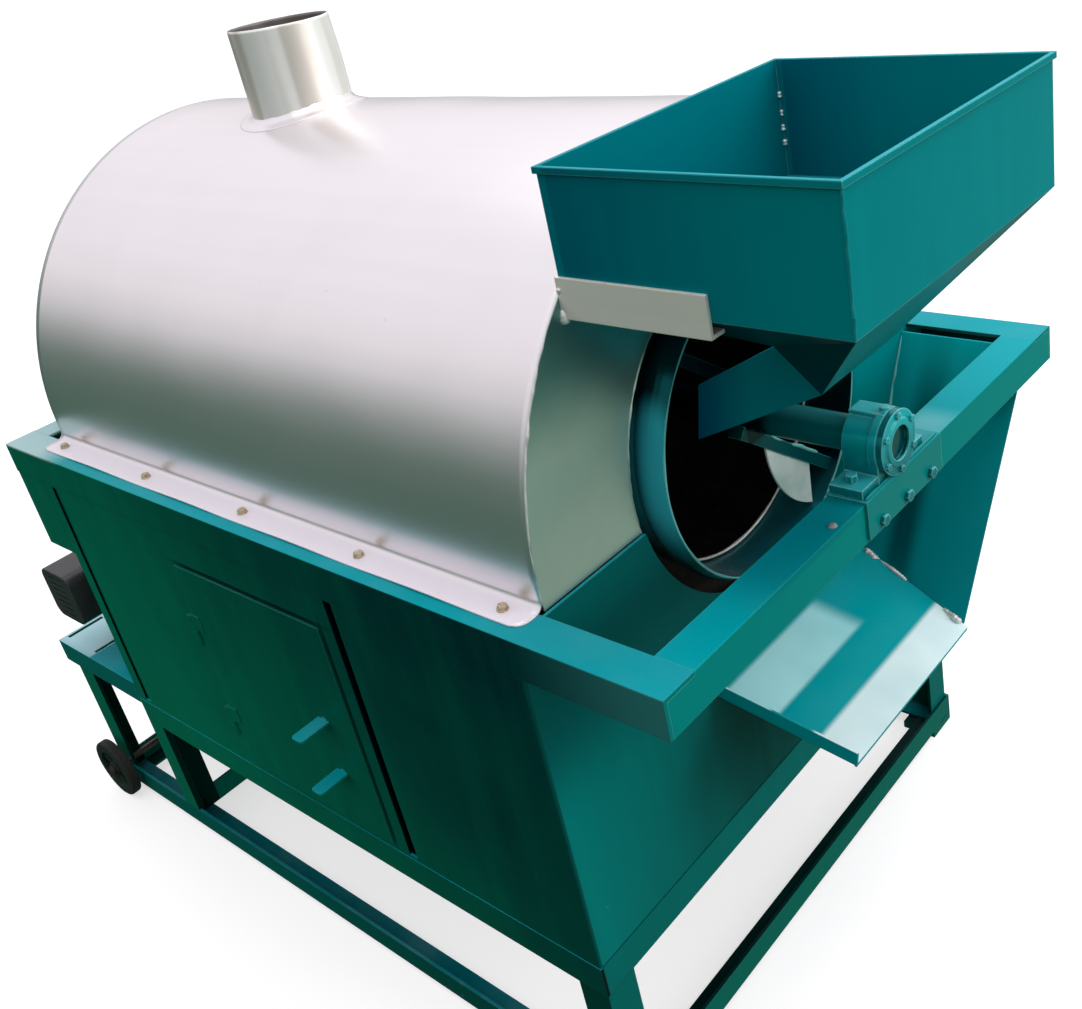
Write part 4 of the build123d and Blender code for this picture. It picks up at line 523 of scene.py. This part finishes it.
def silver(name, pale, dull, satin=0.34, metallic=0.9, grime=0.22, specks=0.14, ledge=None, painted_reflection=None,
           flue=None):
    """Mixes a satin aluminium finish: streaked and blotched tint, satin gloss, fine grain, dark edges. A ledge
    is a band beyond a Y on both sides, where the paint lies thick and white on the flat flange, and a painted
    reflection is another tint, mirrored from nearby teal pieces, that comes in between two heights. A flue is
    the X of an upright pipe: its paint ran down in soft beige streaks, and its inside, where the face looks
    back to the pipe's middle, is sooted and darkened as painted shade."""
    tree, skin = new_finish(name)
    sheet = use_group(tree, rolled_sheet, Streak_Scale=1.0, Grain_Scale=650.0)
    worn = use_group(tree, edge_wear, Width=0.0015, Breakup_Scale=90.0, Keep=0.60)
    marks = use_group(tree, small_marks, Scale=30.0, Size=0.10, Keep=0.60)
    place = object_place(tree)
    tone = plus(tree, times(tree, sheet["Streak"], 0.16),
                times(tree, sheet["Blotch"], grime))
    colour = mix_colour(tree, tone, (*pale, 1), (*dull, 1))
    if ledge:
        across = add_node(tree, "SeparateXYZ", {0: place}).outputs["Y"]
        flat = squeeze(tree, calc(tree, "ABSOLUTE", across), *ledge)
        colour = mix_colour(tree, flat, colour, flange_white)
        tree.links.new(squeeze(tree, flat, 0.0, 1.0, metallic, 0.12), skin.inputs["Metallic"])
    else:
        skin.inputs["Metallic"].default_value = metallic
    # A tint that comes in by height is a painted reflection.
    if painted_reflection:
        low, high, amount, tint = painted_reflection
        climb = slope_mask(tree, place, (0, 0, 1), low, high)
        colour = mix_colour(tree, times(tree, climb, amount), colour, (*tint, 1))
    if flue is not None:
        drawn = add_node(tree, "Mapping", {"Vector": place, "Scale": (26.0, 26.0, 1.5)}).outputs["Vector"]
        run = noise_value(tree, drawn, 1.0, 1.0)
        colour = mix_colour(tree, squeeze(tree, run, 0.44, 0.64, 0.0, 0.75), colour, run_beige)
        # The pipe's inside is sooted and darkened as painted shade.
        from_axis = vector_calc(tree, "SUBTRACT", place, (flue, 0, 0))
        level = vector_calc(tree, "MULTIPLY", from_axis, (1, 1, 0))
        facing = face_normal(tree)
        outward = vector_calc(tree, "DOT_PRODUCT", level, facing)
        inside = squeeze(tree, outward, -0.01, -0.04, 0.0, 0.9)
        colour = mix_colour(tree, inside, colour, flue_soot_and_shade)
    colour = mix_colour(tree, worn["Mask"], colour, edge_brown)
    colour = mix_colour(tree, times(tree, marks["Mask"], specks), colour, speck_brown)
    tree.links.new(colour, skin.inputs["Base Color"])
    rough = plus(tree, times(tree, tone, 0.08), satin - 0.02)
    tree.links.new(rough, skin.inputs["Roughness"])
    bump = add_node(tree, "Bump", {"Strength": 0.02, "Distance": 0.001, "Height": sheet["Height"],
                                   "Normal": worn["Normal"]})
    tree.links.new(bump.outputs["Normal"], skin.inputs["Normal"])


flue_x = (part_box("chimney")[0].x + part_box("chimney")[1].x) / 2
silver("hood_silver", (0.86, 0.83, 0.85), (0.78, 0.75, 0.76), satin=0.32, ledge=(0.394, 0.402))
# The plate's green cast and the teal towards its top are painted reflections of the teal rim and hopper.
silver("plate_silver", (0.58, 0.68, 0.60), (0.48, 0.56, 0.50), satin=0.36,
       painted_reflection=(0.94, 1.05, 0.80, (0.04, 0.24, 0.24)))
silver("pipe_silver", (0.98, 0.96, 0.93), (0.88, 0.86, 0.82), satin=0.36, metallic=0.42,
       flue=flue_x)
silver("bracket_silver", (0.95, 0.91, 0.83), (0.80, 0.76, 0.68), satin=0.40, metallic=0.4)
silver("bead_silver", (0.82, 0.82, 0.80), (0.58, 0.60, 0.57), satin=0.42, metallic=0.5, grime=0.6,
       specks=0.4)
print("silver batches:", [name for name in finishes if name.endswith("silver")])

# %% [markdown]
# ## Bare, burnt and cast metals
#
# What the paint does not cover has its own story: brass-coloured bolts, a drum blackened by fire,
# a shaft polished by turning, a motor in dark machine paint, iron wheels and rubber tyres. They all share one
# recipe, two tints that follow a noise, spots in a third tint, and a roughness that goes with them.

# %% Mix the metals
rough_swing, grain_strength, grain_depth, metal_edge = 0.16, 0.12, 0.001, 0.0012


def bare_metal(name, main, shade, spot, metallic, rough, scale, spot_keep):
    """Mixes a metal in two tints by noise, with spots of a third where a finer noise is high."""
    tree, skin = new_finish(name)
    place = object_place(tree)
    broad = noise_value(tree, place, scale, 6.0, Roughness=0.6)
    fine = noise_value(tree, place, scale * 9, 4.0)
    worn = use_group(tree, edge_wear, Width=metal_edge, Breakup_Scale=scale * 7, Keep=0.55)
    spotted = squeeze(tree, fine, spot_keep, spot_keep + 0.14)
    colour = mix_colour(tree, squeeze(tree, broad, 0.34, 0.68), (*main, 1), (*shade, 1))
    colour = mix_colour(tree, spotted, colour, (*spot, 1))
    tree.links.new(colour, skin.inputs["Base Color"])
    swing = times(tree, plus(tree, broad, spotted), rough_swing)
    tree.links.new(plus(tree, swing, rough - rough_swing / 2), skin.inputs["Roughness"])
    relief = add_node(tree, "Bump", {"Strength": grain_strength, "Distance": grain_depth, "Height": fine,
                                     "Normal": worn["Normal"]})
    tree.links.new(relief.outputs["Normal"], skin.inputs["Normal"])
    skin.inputs["Metallic"].default_value = metallic


# Main tint, shade and spots, then how metallic, how rough, the scale of the noise and where spots begin.
metal_recipes = {
    "brassy_bolt": ((0.62, 0.55, 0.40), (0.46, 0.38, 0.24), (0.26, 0.16, 0.10), 0.4, 0.42, 60.0, 0.5),
    "primed_stud": ((0.22, 0.27, 0.28), (0.24, 0.20, 0.21), (0.34, 0.36, 0.36), 0.2, 0.5, 60.0, 0.5),
    "burnt_drum": ((0.012, 0.012, 0.012), (0.028, 0.024, 0.021), (0.05, 0.038, 0.03), 0.3, 0.7, 9.0, 0.5),
    "turned_steel": ((0.58, 0.57, 0.55), (0.44, 0.43, 0.41), (0.24, 0.17, 0.11), 1.0, 0.30, 30.0, 0.62),
    "scoop_steel": ((0.86, 0.88, 0.86), (0.62, 0.76, 0.72), (0.42, 0.52, 0.50), 0.20, 0.34, 26.0, 0.66),
    "oiled_chain": ((0.10, 0.095, 0.09), (0.05, 0.045, 0.04), (0.16, 0.11, 0.07), 0.9, 0.40, 40.0, 0.5),
    "bush_bronze": ((0.60, 0.38, 0.16), (0.46, 0.27, 0.11), (0.22, 0.13, 0.06), 1.0, 0.34, 40.0, 0.5),
    "grate_iron": ((0.045, 0.04, 0.037), (0.09, 0.06, 0.045), (0.16, 0.08, 0.045), 0.5, 0.72, 20.0, 0.5),
    "motor_paint": ((0.022, 0.024, 0.026), (0.035, 0.037, 0.039), (0.07, 0.07, 0.068), 0.0, 0.42, 24.0, 0.6),
    "wheel_casting": ((0.004, 0.020, 0.014), (0.008, 0.026, 0.020), (0.04, 0.030, 0.022), 0.2, 0.5, 30.0, 0.5),
    "tyre_rubber": ((0.005, 0.006, 0.005), (0.010, 0.010, 0.009), (0.040, 0.030, 0.028), 0.0, 0.75, 40.0, 0.58),
}
for metal_name, recipe in metal_recipes.items():
    bare_metal(metal_name, *recipe)
print("finishes in all:", len(finishes))

# %% [markdown]
# ## Paint goes on the pieces
#
# Each piece names its finish here. The list reads like a spray shop's job card: batches first, then the pieces
# that hung on the line together.

# %% Give every piece its finish
job_card = {
    "body_enamel": "far_panel rear_panel rear_guard bottom_side_rails rear_legs platform_legs",
    "near_enamel": "near_panel",
    "door_enamel": "fire_door door_hinge_barrels hinge_pintles",
    "front_enamel": "front_panel",
    "leg_enamel": "bottom_end_rails front_legs",
    "side_rim_enamel": "rim_sides",
    "end_rim_enamel": "rim_ends",
    "latch_enamel": "latch_upper latch_lower",
    "tray_enamel": "chute_tray",
    "cheek_enamel": "chute_cheek",
    "bearing_enamel": "front_bearing_housing front_bearing_cover bearing_bolts rear_bearing_housing",
    "bracket_enamel": "bearing_bracket",
    "hopper_enamel": "hopper_walls",
    "funnel_enamel": "hopper_funnel",
    "spout_enamel": "feed_spout",
    "mouth_enamel": "drum_mouth",
    "shaft_enamel": "drum_shaft",
    "stand_enamel": "side_sills",
    "sill_enamel": "cross_sills foot_pads",
    "platform_enamel": "motor_platform",
    "hood_silver": "hood_shell",
    "plate_silver": "hood_front_plate hood_rear_plate",
    "pipe_silver": "chimney chimney_collar",
    "bracket_silver": "hopper_brackets",
    "brassy_bolt": "hood_bolts",
    "burnt_drum": "drum_shell drum_front_plate drum_rear_plate drum_flights body_floor",
    "turned_steel": "drum_sprocket drive_sprocket",
    "scoop_steel": "discharge_scoop",
    "oiled_chain": "drive_chain wheel_axle",
    "bush_bronze": "front_bush",
    "grate_iron": "fire_grate",
    "motor_paint": "motor_body motor_cowl gearbox",
    "wheel_casting": "near_wheel_hub far_wheel_hub",
    "tyre_rubber": "near_wheel_tyre far_wheel_tyre",
}
for finish, names in job_card.items():
    for part_name in names.split():
        parts[part_name].data.materials.clear()
        parts[part_name].data.materials.append(finishes[finish])
finished = sum(len(names.split()) for names in job_card.values())
print("finished pieces:", finished, "of", len(parts))

# %% [markdown]
# ## From a grid of points to a piece
#
# Everything added from here on is a surface: a function of two numbers, worked out for a whole grid at once.
# One helper joins the grid with four-sided faces. It can close the grid round like a tube, leave cells out for
# a hole, and merge points that fall together, so that a bead ends in a closed tip.

# %% Grid helper
import bmesh


def full_turn(steps):
    """Gives so many angles round a circle, without the last one that would meet the first."""
    return np.linspace(0, 2 * np.pi, steps + 1)[:-1]


def piece_from_grid(name, points, finish, body="root", around=False, ends=False, holes=None, wall=0.0):
    """Joins rows by columns of points with four-sided faces that look away from the middle of the piece."""
    rows, columns = points.shape[:2]
    number = np.arange(rows * columns).reshape(rows, columns)
    if around:
        number = np.concatenate([number, number[:, :1]], axis=1)
    if ends:
        number = np.concatenate([number, number[:1]], axis=0)
    cells = np.stack([number[:-1, :-1], number[:-1, 1:], number[1:, 1:], number[1:, :-1]], axis=-1)
    cells = cells.reshape(-1, 4) if holes is None else cells[~holes]
    used, cells = np.unique(cells, return_inverse=True)
    cells = cells.reshape(-1, 4)
    spots = points.reshape(-1, 3)[used]
    corner = spots[cells]
    facing = np.cross(corner[:, 2] - corner[:, 0], corner[:, 3] - corner[:, 1])
    if np.sum(facing * (corner.mean(axis=1) - spots.mean(axis=0))) < 0:
        cells = cells[:, ::-1]
    mesh = bpy.data.meshes.new(name)
    mesh.from_pydata(spots.tolist(), [], cells.tolist())
    work = bmesh.new()
    work.from_mesh(mesh)
    bmesh.ops.remove_doubles(work, verts=work.verts[:], dist=1e-6)
    work.to_mesh(mesh)
    work.free()
    mesh.shade_smooth()
    mesh.materials.append(finishes[finish])
    piece = bpy.data.objects.new(name, mesh)
    bpy.context.scene.collection.objects.link(piece)
    if wall:
        shell = piece.modifiers.new("sheet", "SOLIDIFY")
        shell.thickness = wall
        shell.offset = -1.0
        shell.use_even_offset = True
    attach(piece, body)
    print(name, "faces", len(mesh.polygons))
    return piece


# %% [markdown]
# ## The hood
#
# The hood is one sheet rolled over the drum, with a flange folded out along both sides and bolted to the rim.
# A drawing shows it perfect. The real sheet has shallow waves from rolling by hand, and between the bolts the
# flange lifts off the rim by a millimetre or two, which draws the thin dark line under it. The sheet is a
# profile carried along X. For the flue hole a square of cells is left out and the lines around it are eased
# from the square to a circle.

# %% Hood profile
hood_low, hood_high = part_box("hood_shell")
hood_wall = 0.002
fold_r = 0.012
flange_width = 0.038
crown_r = hood_high.y - flange_width
crown_z = hood_high.z - crown_r
flange_z = hood_low.z + hood_wall
flange_steps, fold_steps, bow_steps = 9, 7, 70
fold = np.linspace(0, np.pi / 2, fold_steps)
bow = np.linspace(0, np.pi / 2, bow_steps)
side_y = np.concatenate([np.linspace(hood_high.y, crown_r + fold_r, flange_steps),
                         crown_r + fold_r * (1 - np.sin(fold[1:])), crown_r * np.cos(bow)])
side_z = np.concatenate([np.full(flange_steps, flange_z), flange_z + fold_r * (1 - np.cos(fold[1:])),
                         crown_z + crown_r * np.sin(bow)])
profile_y = np.concatenate([side_y, -side_y[-2::-1]])
profile_z = np.concatenate([side_z, side_z[-2::-1]])
profile_s = np.concatenate([[0.0], np.cumsum(np.hypot(np.diff(profile_y), np.diff(profile_z)))])
crown_s = profile_s[-1] / 2
print("hood sheet is", round(profile_s[-1], 3), "m from edge to edge")

# %% Hood grid with its flue hole
flue_r = 0.074
ease_reach, block_reach, ease_lines = 0.16, 0.05, 33
ease = np.linspace(-ease_reach, ease_reach, ease_lines)
grid_x = np.concatenate([np.linspace(hood_low.x, flue_x - ease_reach, 18)[:-1], flue_x + ease,
                         np.linspace(flue_x + ease_reach, hood_high.x, 62)[1:]])
grid_s = np.concatenate([profile_s[profile_s < crown_s - ease_reach - 0.004], crown_s + ease,
                         profile_s[profile_s > crown_s + ease_reach + 0.004]])
sheet_x, sheet_s = np.meshgrid(grid_x, grid_s, indexing="ij")
from_x, from_s = sheet_x - flue_x, sheet_s - crown_s
square = np.maximum(np.abs(from_x), np.abs(from_s))
distance = np.maximum(np.hypot(from_x, from_s), 1e-9)
weight = np.clip((square - block_reach) / (ease_reach - block_reach), 0, 1)
round_r = flue_r + weight * (ease_reach - flue_r)
eased = weight + (1 - weight) * round_r / distance
sheet_x = np.where(square < ease_reach, flue_x + from_x * eased, sheet_x)
sheet_s = np.where(square < ease_reach, crown_s + from_s * eased, sheet_s)
inside = square < block_reach - 1e-6
flue_hole = inside[:-1, :-1] | inside[1:, 1:] | inside[:-1, 1:] | inside[1:, :-1]
print("hood grid", sheet_x.shape, "cells left out for the flue", int(flue_hole.sum()))

# %% Hood sheet
def hood_waves(x, s):
    """Shallow hand-rolling waves in metres: a longer product of sines along and across, and a shorter one."""
    broad = np.sin(9.1 * x + 0.7) * np.sin(7.3 * s + 1.9) + 0.6 * np.sin(14.7 * x + 3.1 * s)
    short = np.sin(31.0 * x + 2.0 + 4.0 * s) * np.sin(17.0 * s + 0.4)
    return 0.0007 * broad + 0.0002 * short


bolt_low, bolt_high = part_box("hood_bolts")
bolt_half = 0.007
bolt_first, bolt_last = bolt_low.x + bolt_half, bolt_high.x - bolt_half
bolt_pitch = (bolt_last - bolt_first) / 4
sheet_y = np.interp(sheet_s, profile_s, profile_y)
sheet_z = np.interp(sheet_s, profile_s, profile_z)
side_hold_reach, end_hold_reach, flue_hold_reach = 0.12, 0.06, 0.08
rise = np.clip((sheet_z - crown_z) / side_hold_reach, 0, 1)
end_hold = np.clip(np.minimum(sheet_x - hood_low.x, hood_high.x - sheet_x) / end_hold_reach, 0, 1)
flue_hold = np.clip((distance - flue_r) / flue_hold_reach, 0, 1)
swell = hood_waves(sheet_x, sheet_s) * rise * end_hold * flue_hold
flange_share = np.clip((np.abs(sheet_y) - crown_r - fold_r) / (flange_width - fold_r), 0, 1)
flange_lift = 0.0016
lift = flange_lift * flange_share * np.sin(np.pi * (sheet_x - bolt_first) / bolt_pitch) ** 2
corner_r, corner_reach = 0.016, 0.05
past_corner = np.clip(np.abs(sheet_y) - (hood_high.y - corner_r), 0, corner_r)
rounding = corner_r - np.sqrt(corner_r ** 2 - past_corner ** 2)
for end_x in (hood_low.x, hood_high.x):
    sheet_x = sheet_x + np.sign(-end_x) * rounding * np.clip(1 - np.abs(sheet_x - end_x) / corner_reach, 0, 1)
sheet_y = sheet_y * (1 + swell / crown_r)
sheet_z = sheet_z + swell * (sheet_z - crown_z) / crown_r + lift
hood_sheet = piece_from_grid("hood_sheet", np.stack([sheet_x, sheet_y, sheet_z], axis=-1), "hood_silver",
                             holes=flue_hole, wall=hood_wall)
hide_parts("hood_shell")

# %% [markdown]
# ## The chimney stub
#
# A piece of pipe stands on the hood over the flue hole. It has been knocked: two long flats face the front, and
# the mouth is pushed in on one side. The radius is that of the pipe less a few smooth dents, each a bell in
# angle and height. Round its foot the joint is filled with a bright skirt, a small profile carried round, which
# is thickest towards the front.

# %% Chimney pipe and skirt
def saddle_z(y):
    """Height of the hood's outside at a distance from its crown line."""
    return crown_z + np.sqrt(crown_r ** 2 - y ** 2)


def bell(value, middle, width):
    """A smooth hump: the exponential of minus the square of the distance in widths."""
    return np.exp(-((value - middle) / width) ** 2)


pipe_low, pipe_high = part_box("chimney")
pipe_r = (pipe_high.x - pipe_low.x) / 2
pipe_wall = 0.002
pipe_turn = np.linspace(-np.pi, np.pi, 129)[:-1][None, :]
pipe_rise = np.linspace(0, 1, 33)[:, None]
knock = (0.0020 * bell(pipe_turn, -1.62, 0.24) * bell(pipe_rise, 0.45, 0.6)
         + 0.0016 * bell(pipe_turn, -0.70, 0.20) * bell(pipe_rise, 0.6, 0.6)
         + 0.0050 * bell(pipe_turn, 0.72, 0.45) * bell(pipe_rise, 1.05, 0.35))
around_r = pipe_r - knock
pipe_x = flue_x + around_r * np.cos(pipe_turn)
pipe_y = around_r * np.sin(pipe_turn)
pipe_top = pipe_high.z - 0.0015 * (1 + np.cos(pipe_turn - 2.2))
foot_z = saddle_z(pipe_y) - 0.0012
pipe_z = foot_z + pipe_rise * (pipe_top - foot_z)
chimney_pipe = piece_from_grid("chimney_pipe", np.stack([pipe_x, pipe_y, pipe_z], axis=-1), "pipe_silver",
                               around=True, wall=pipe_wall)
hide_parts("chimney")
skirt_profile = np.array([(0.0742, 0.0120), (0.0752, 0.0126), (0.0762, 0.0108), (0.0790, 0.0062),
                          (0.0850, 0.0034), (0.0920, 0.0018), (0.0955, 0.0010), (0.0964, 0.0003),
                          (0.0958, -0.0012), (0.0742, -0.0012)])
skirt_r, skirt_rise = skirt_profile[:, :1], skirt_profile[:, 1:]
ragged = 1 + 0.05 * np.sin(13 * pipe_turn) + 0.04 * np.sin(29 * pipe_turn + 1.0)
fill = 0.62 + 0.38 * np.cos(pipe_turn)
skirt_x = flue_x + skirt_r * np.cos(pipe_turn)
skirt_y = skirt_r * np.sin(pipe_turn)
skirt_lift = np.where(skirt_rise > 0.003, skirt_rise * ragged, skirt_rise)
skirt_z = saddle_z(skirt_y) + np.where(skirt_rise > 0, skirt_lift * fill, skirt_rise)
chimney_skirt = piece_from_grid("chimney_skirt", np.stack([skirt_x, skirt_y, skirt_z], axis=-1), "hood_silver",
                                around=True, ends=True)
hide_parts("chimney_collar")

# %% [markdown]
# ## Weld beads
#
# The machine is stick welded, and the beads show as pale ripples where sheets meet. A bead is a round section
# carried along a line. Its radius swells and shrinks with the ripple of the rod and a slow wander, and falls
# to nothing at both ends, so each bead closes to a tip.

# %% Bead helper
def weld_bead(name, corners, outward, radius, seed, finish="bead_silver", body="root",
              ripple=0.16, pull=0.0):
    """Carries a circle along a broken line of corners (mm): radius times 1 + ripple sin(way) + wander, with
    tapered ends, and pulled out along the outward side by a share of the wander."""
    corners = np.asarray(corners, float) / 1000
    reach = np.concatenate([[0.0], np.cumsum(np.linalg.norm(np.diff(corners, axis=0), axis=1))])
    way = np.linspace(0, reach[-1], max(int(reach[-1] / (0.5 * radius)), 13))
    line = np.stack([np.interp(way, reach, corners[:, axis]) for axis in range(3)], axis=1)
    ahead = np.gradient(line, axis=0)
    ahead /= np.linalg.norm(ahead, axis=1, keepdims=True)
    out = np.asarray(outward, float) - ahead * (ahead @ np.asarray(outward, float))[:, None]
    out /= np.linalg.norm(out, axis=1, keepdims=True)
    side = np.cross(ahead, out)
    dice = np.random.default_rng(seed)
    knots = dice.normal(0, 1, max(int(reach[-1] / (6 * radius)), 4))
    wander = np.interp(way, np.linspace(0, reach[-1], len(knots)), knots)
    size = radius * (1 + ripple * np.sin(2 * np.pi * way / (1.7 * radius)) + 0.16 * wander)
    size *= np.sqrt(np.clip(1 - np.abs(2 * way / reach[-1] - 1) ** 10, 0, 1))
    line = line + out * (pull * radius * wander)[:, None]
    turn = full_turn(12)
    ring = np.cos(turn)[None, :, None] * out[:, None] + np.sin(turn)[None, :, None] * side[:, None]
    return piece_from_grid(name, line[:, None] + size[:, None, None] * ring, finish, body, around=True)


print("bead helper ready")

# %% Lay the beads
off_tray, off_bracket, off_corner = (0, -0.6, 0.8), (0.3, -0.95, 0), (0.7, -0.7, 0)
weld_bead("tray_weld", [(522, 220, 505), (560, 206, 498.5), (604, 190, 491.5)], off_tray, 0.0030, 3, pull=0.5)
weld_bead("tray_weld_start", [(524, 217, 504), (548, 208, 500)], off_tray, 0.0052, 2, pull=0.6)
weld_bead("tray_tip_weld", [(672, 165.5, 479.5), (706, 153, 473.5)], off_tray, 0.0036, 4, pull=0.6)
weld_bead("cheek_weld", [(517, 232, 520), (517, 384, 785)], (0.8, -0.6, 0), 0.0024, 5, "worn_enamel", pull=0.3)
bracket_low, bracket_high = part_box("bearing_bracket")
fold_x, fold_z = 1000 * (bracket_high.x - 0.004), 1000 * (bracket_high.z + 0.0012)
fold_ends = (1000 * (bracket_low.y + 0.003), 1000 * (bracket_high.y - 0.003))
weld_bead("bracket_fold", [(fold_x, end_y, fold_z) for end_y in fold_ends], (0, 0, 1), 0.0026, 6,
          "bracket_enamel", ripple=0.02)
weld_bead("bracket_weld", [(509.5, -276, 1079), (510, -279, 1096)], off_bracket, 0.0052, 7,
          ripple=0.05, pull=0.7)
weld_bead("bracket_run", [(510, -278.5, 1092), (510.5, -280, 1108), (513, -281, 1119)], off_bracket, 0.0036, 8,
          ripple=0.05, pull=0.9)
weld_bead("hopper_corner_weld", [(849, -275, 1240), (849.3, -275.3, 1170), (849, -275, 1104)], off_corner,
          0.0016, 9, "hopper_enamel", pull=0.3)
weld_bead("spoke_weld", [(526.5, 18, 801), (526.5, 66, 764), (526.5, 116, 725.5)], (0.8, 0.4, 0.5), 0.0022, 14,
          "worn_enamel", body="drum", pull=0.5)
tack_x, tack_y, tack_length, tack_seed = 514.5, 142.5, 8, 20
for tack, low_z in enumerate((1140, 1158, 1176, 1198)):
    weld_bead("hopper_tack_%d" % (tack + 1), [(tack_x, tack_y, low_z), (tack_x, tack_y, low_z + tack_length)],
              off_corner, 0.0026, tack_seed + tack)

# %% Seams and worn edges
def arc_line(x, radius, middle_z, first, last, steps=181):
    """Gives points on an upright arc across the machine (mm), between two angles."""
    turn = np.linspace(first, last, steps)
    return np.stack([np.full(steps, x), radius * np.cos(turn), middle_z + radius * np.sin(turn)], axis=1)


weld_bead("hood_front_seam", arc_line(508.2, 394.3, 831, 0.02, np.pi - 0.02), (1, 0, 0), 0.0015, 11,
          ripple=0.08, pull=0.2)
weld_bead("plate_lip", arc_line(509.0, 231.4, 1000 * drum_axis_z, -0.18, np.pi + 0.18), (1, 0, 0), 0.0013, 13,
          "plate_silver", ripple=0.03, pull=0.1)


def edge_ring(name, x, ring_r, radius, finish):
    """A thin ring round the drum axis: a circle of the radius carried round a circle of the ring's radius."""
    turn = full_turn(192)[:, None]
    lap = full_turn(8)[None, :]
    worn_r = radius * (1 + 0.15 * np.sin(7 * turn) + 0.1 * np.sin(19 * turn + 1))
    out = ring_r + worn_r * np.cos(lap)
    spots = np.stack([x + worn_r * np.sin(lap), out * np.cos(turn), drum_axis_z + out * np.sin(turn)], axis=-1)
    return piece_from_grid(name, spots, finish, "drum", around=True, ends=True)


mouth_low, mouth_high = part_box("drum_mouth")
edge_ring("mouth_edge", mouth_high.x - 0.0006, 0.2045, 0.0016, "worn_enamel")
edge_ring("throat_edge", mouth_low.x - 0.001, 0.1990, 0.0022, "bead_silver")

# %% [markdown]
# ## A stud on the rim
#
# One round-headed stud, its paint rubbed off, sits on the front rim rail beside the bearing.

# %% Rim stud
stud_r, stud_height = 0.0056, 0.0036
stud_x, stud_y, stud_seat = 0.703, -0.126, 0.7948
stud_turn = full_turn(24)[None, :]
stud_share = np.linspace(0, 1, 9)[:, None]
stud_out = stud_r * np.sin(stud_share * np.pi / 2)
stud_z = stud_seat + stud_height * np.cos(stud_share * np.pi / 2) + 0 * stud_turn
stud_dome = np.stack([stud_x + stud_out * np.cos(stud_turn), stud_y + stud_out * np.sin(stud_turn), stud_z],
                     axis=-1)
piece_from_grid("rim_stud", stud_dome, "primed_stud", around=True)

# %% [markdown]
# ## Light and floor
#
# The machine was photographed in open shade: a wide bright sky, darker ground. A world that is bright above
# and dark below gives the hood its look, because satin metal shows what it mirrors. The pale floor is seen by
# the camera and takes the shadows, while mirrored and bounced light come from the darker ground.

# %% World
world = bpy.data.worlds.new("open_shade")
bpy.context.scene.world = world
world.use_nodes = True
sky = world.node_tree
for old in list(sky.nodes):
    sky.nodes.remove(old)
direction = add_node(sky, "TexCoord").outputs["Generated"]
compass = add_node(sky, "SeparateXYZ", {0: direction}).outputs
height = compass["Z"]
shaded_ground, open_ground = (0.022, 0.088, 0.052, 1), (0.28, 0.37, 0.31, 1)
low_sky, high_sky, backdrop = (0.94, 0.90, 0.93, 1), (0.98, 0.95, 1.00, 1), (0.93, 0.93, 0.93, 1)
frontness = slope_mask(sky, direction, (0.68, 0.73, 0.0), -0.1, 0.7)
ground = mix_colour(sky, frontness, shaded_ground, open_ground)
above = mix_colour(sky, squeeze(sky, height, 0.15, 0.8), low_sky, high_sky)
hedge = squeeze(sky, compass["Y"], -0.50, -0.72)
skyline_low = squeeze(sky, hedge, 0.0, 1.0, -0.03, -0.09)
skyline_high = squeeze(sky, hedge, 0.0, 1.0, 0.27, 0.48)
seen = mix_colour(sky, squeeze(sky, height, skyline_low, skyline_high), ground, above)
to_camera = add_node(sky, "LightPath").outputs["Is Camera Ray"]
plain = mix_colour(sky, to_camera, seen, backdrop)
glow = add_node(sky, "Background", {"Color": plain, "Strength": 1.0})
shown = sky.nodes.new("ShaderNodeOutputWorld")
sky.links.new(glow.outputs[0], shown.inputs["Surface"])
bpy.context.scene.view_settings.view_transform = "Standard"
print("world:", world.name, "view:", bpy.context.scene.view_settings.view_transform)

# %% Lamps
def soft_box(name, place, aim, size, power):
    """Adds a square area lamp at a place, turned to face its aim."""
    lamp = bpy.data.lights.new(name, "AREA")
    lamp.shape = "RECTANGLE"
    lamp.size, lamp.size_y = size
    lamp.energy = power
    holder = bpy.data.objects.new(name, lamp)
    holder.location = place
    holder.rotation_euler = (Vector(aim) - Vector(place)).to_track_quat("-Z", "Y").to_euler()
    bpy.context.scene.collection.objects.link(holder)


soft_box("sky_box", (0.4, 0.6, 3.6), (0.1, 0.0, 0.8), (3.0, 3.0), 60.0)
soft_box("front_box", (3.2, 1.2, 1.8), (0.6, 0.0, 0.7), (1.6, 1.6), 34.0)

# %% Floor
floor_tree, floor_skin = new_finish("pale_floor")
floor_place = object_place(floor_tree)
floor_noise = noise_value(floor_tree, floor_place, 1.4, 4.0)
floor_tint = mix_colour(floor_tree, floor_noise, (0.52, 0.52, 0.52, 1), (0.56, 0.56, 0.56, 1))
floor_tree.links.new(floor_tint, floor_skin.inputs["Base Color"])
floor_skin.inputs["Emission Color"].default_value = (1.0, 1.0, 1.0, 1.0)
floor_skin.inputs["Emission Strength"].default_value = 0.62
floor_skin.inputs["Roughness"].default_value = 0.9
floor_skin.inputs["Specular IOR Level"].default_value = 0.0
floor_reach = 40.0
floor_mesh = bpy.data.meshes.new("pale_floor")
floor_mesh.from_pydata([(-floor_reach, -floor_reach, 0), (floor_reach, -floor_reach, 0),
                        (floor_reach, floor_reach, 0), (-floor_reach, floor_reach, 0)], [], [(0, 1, 2, 3)])
floor_mesh.materials.append(finishes["pale_floor"])
pale_floor = bpy.data.objects.new("pale_floor", floor_mesh)
bpy.context.scene.collection.objects.link(pale_floor)
pale_floor.visible_glossy = False
pale_floor.visible_diffuse = False
print("floor:", 2 * floor_reach, "m wide")
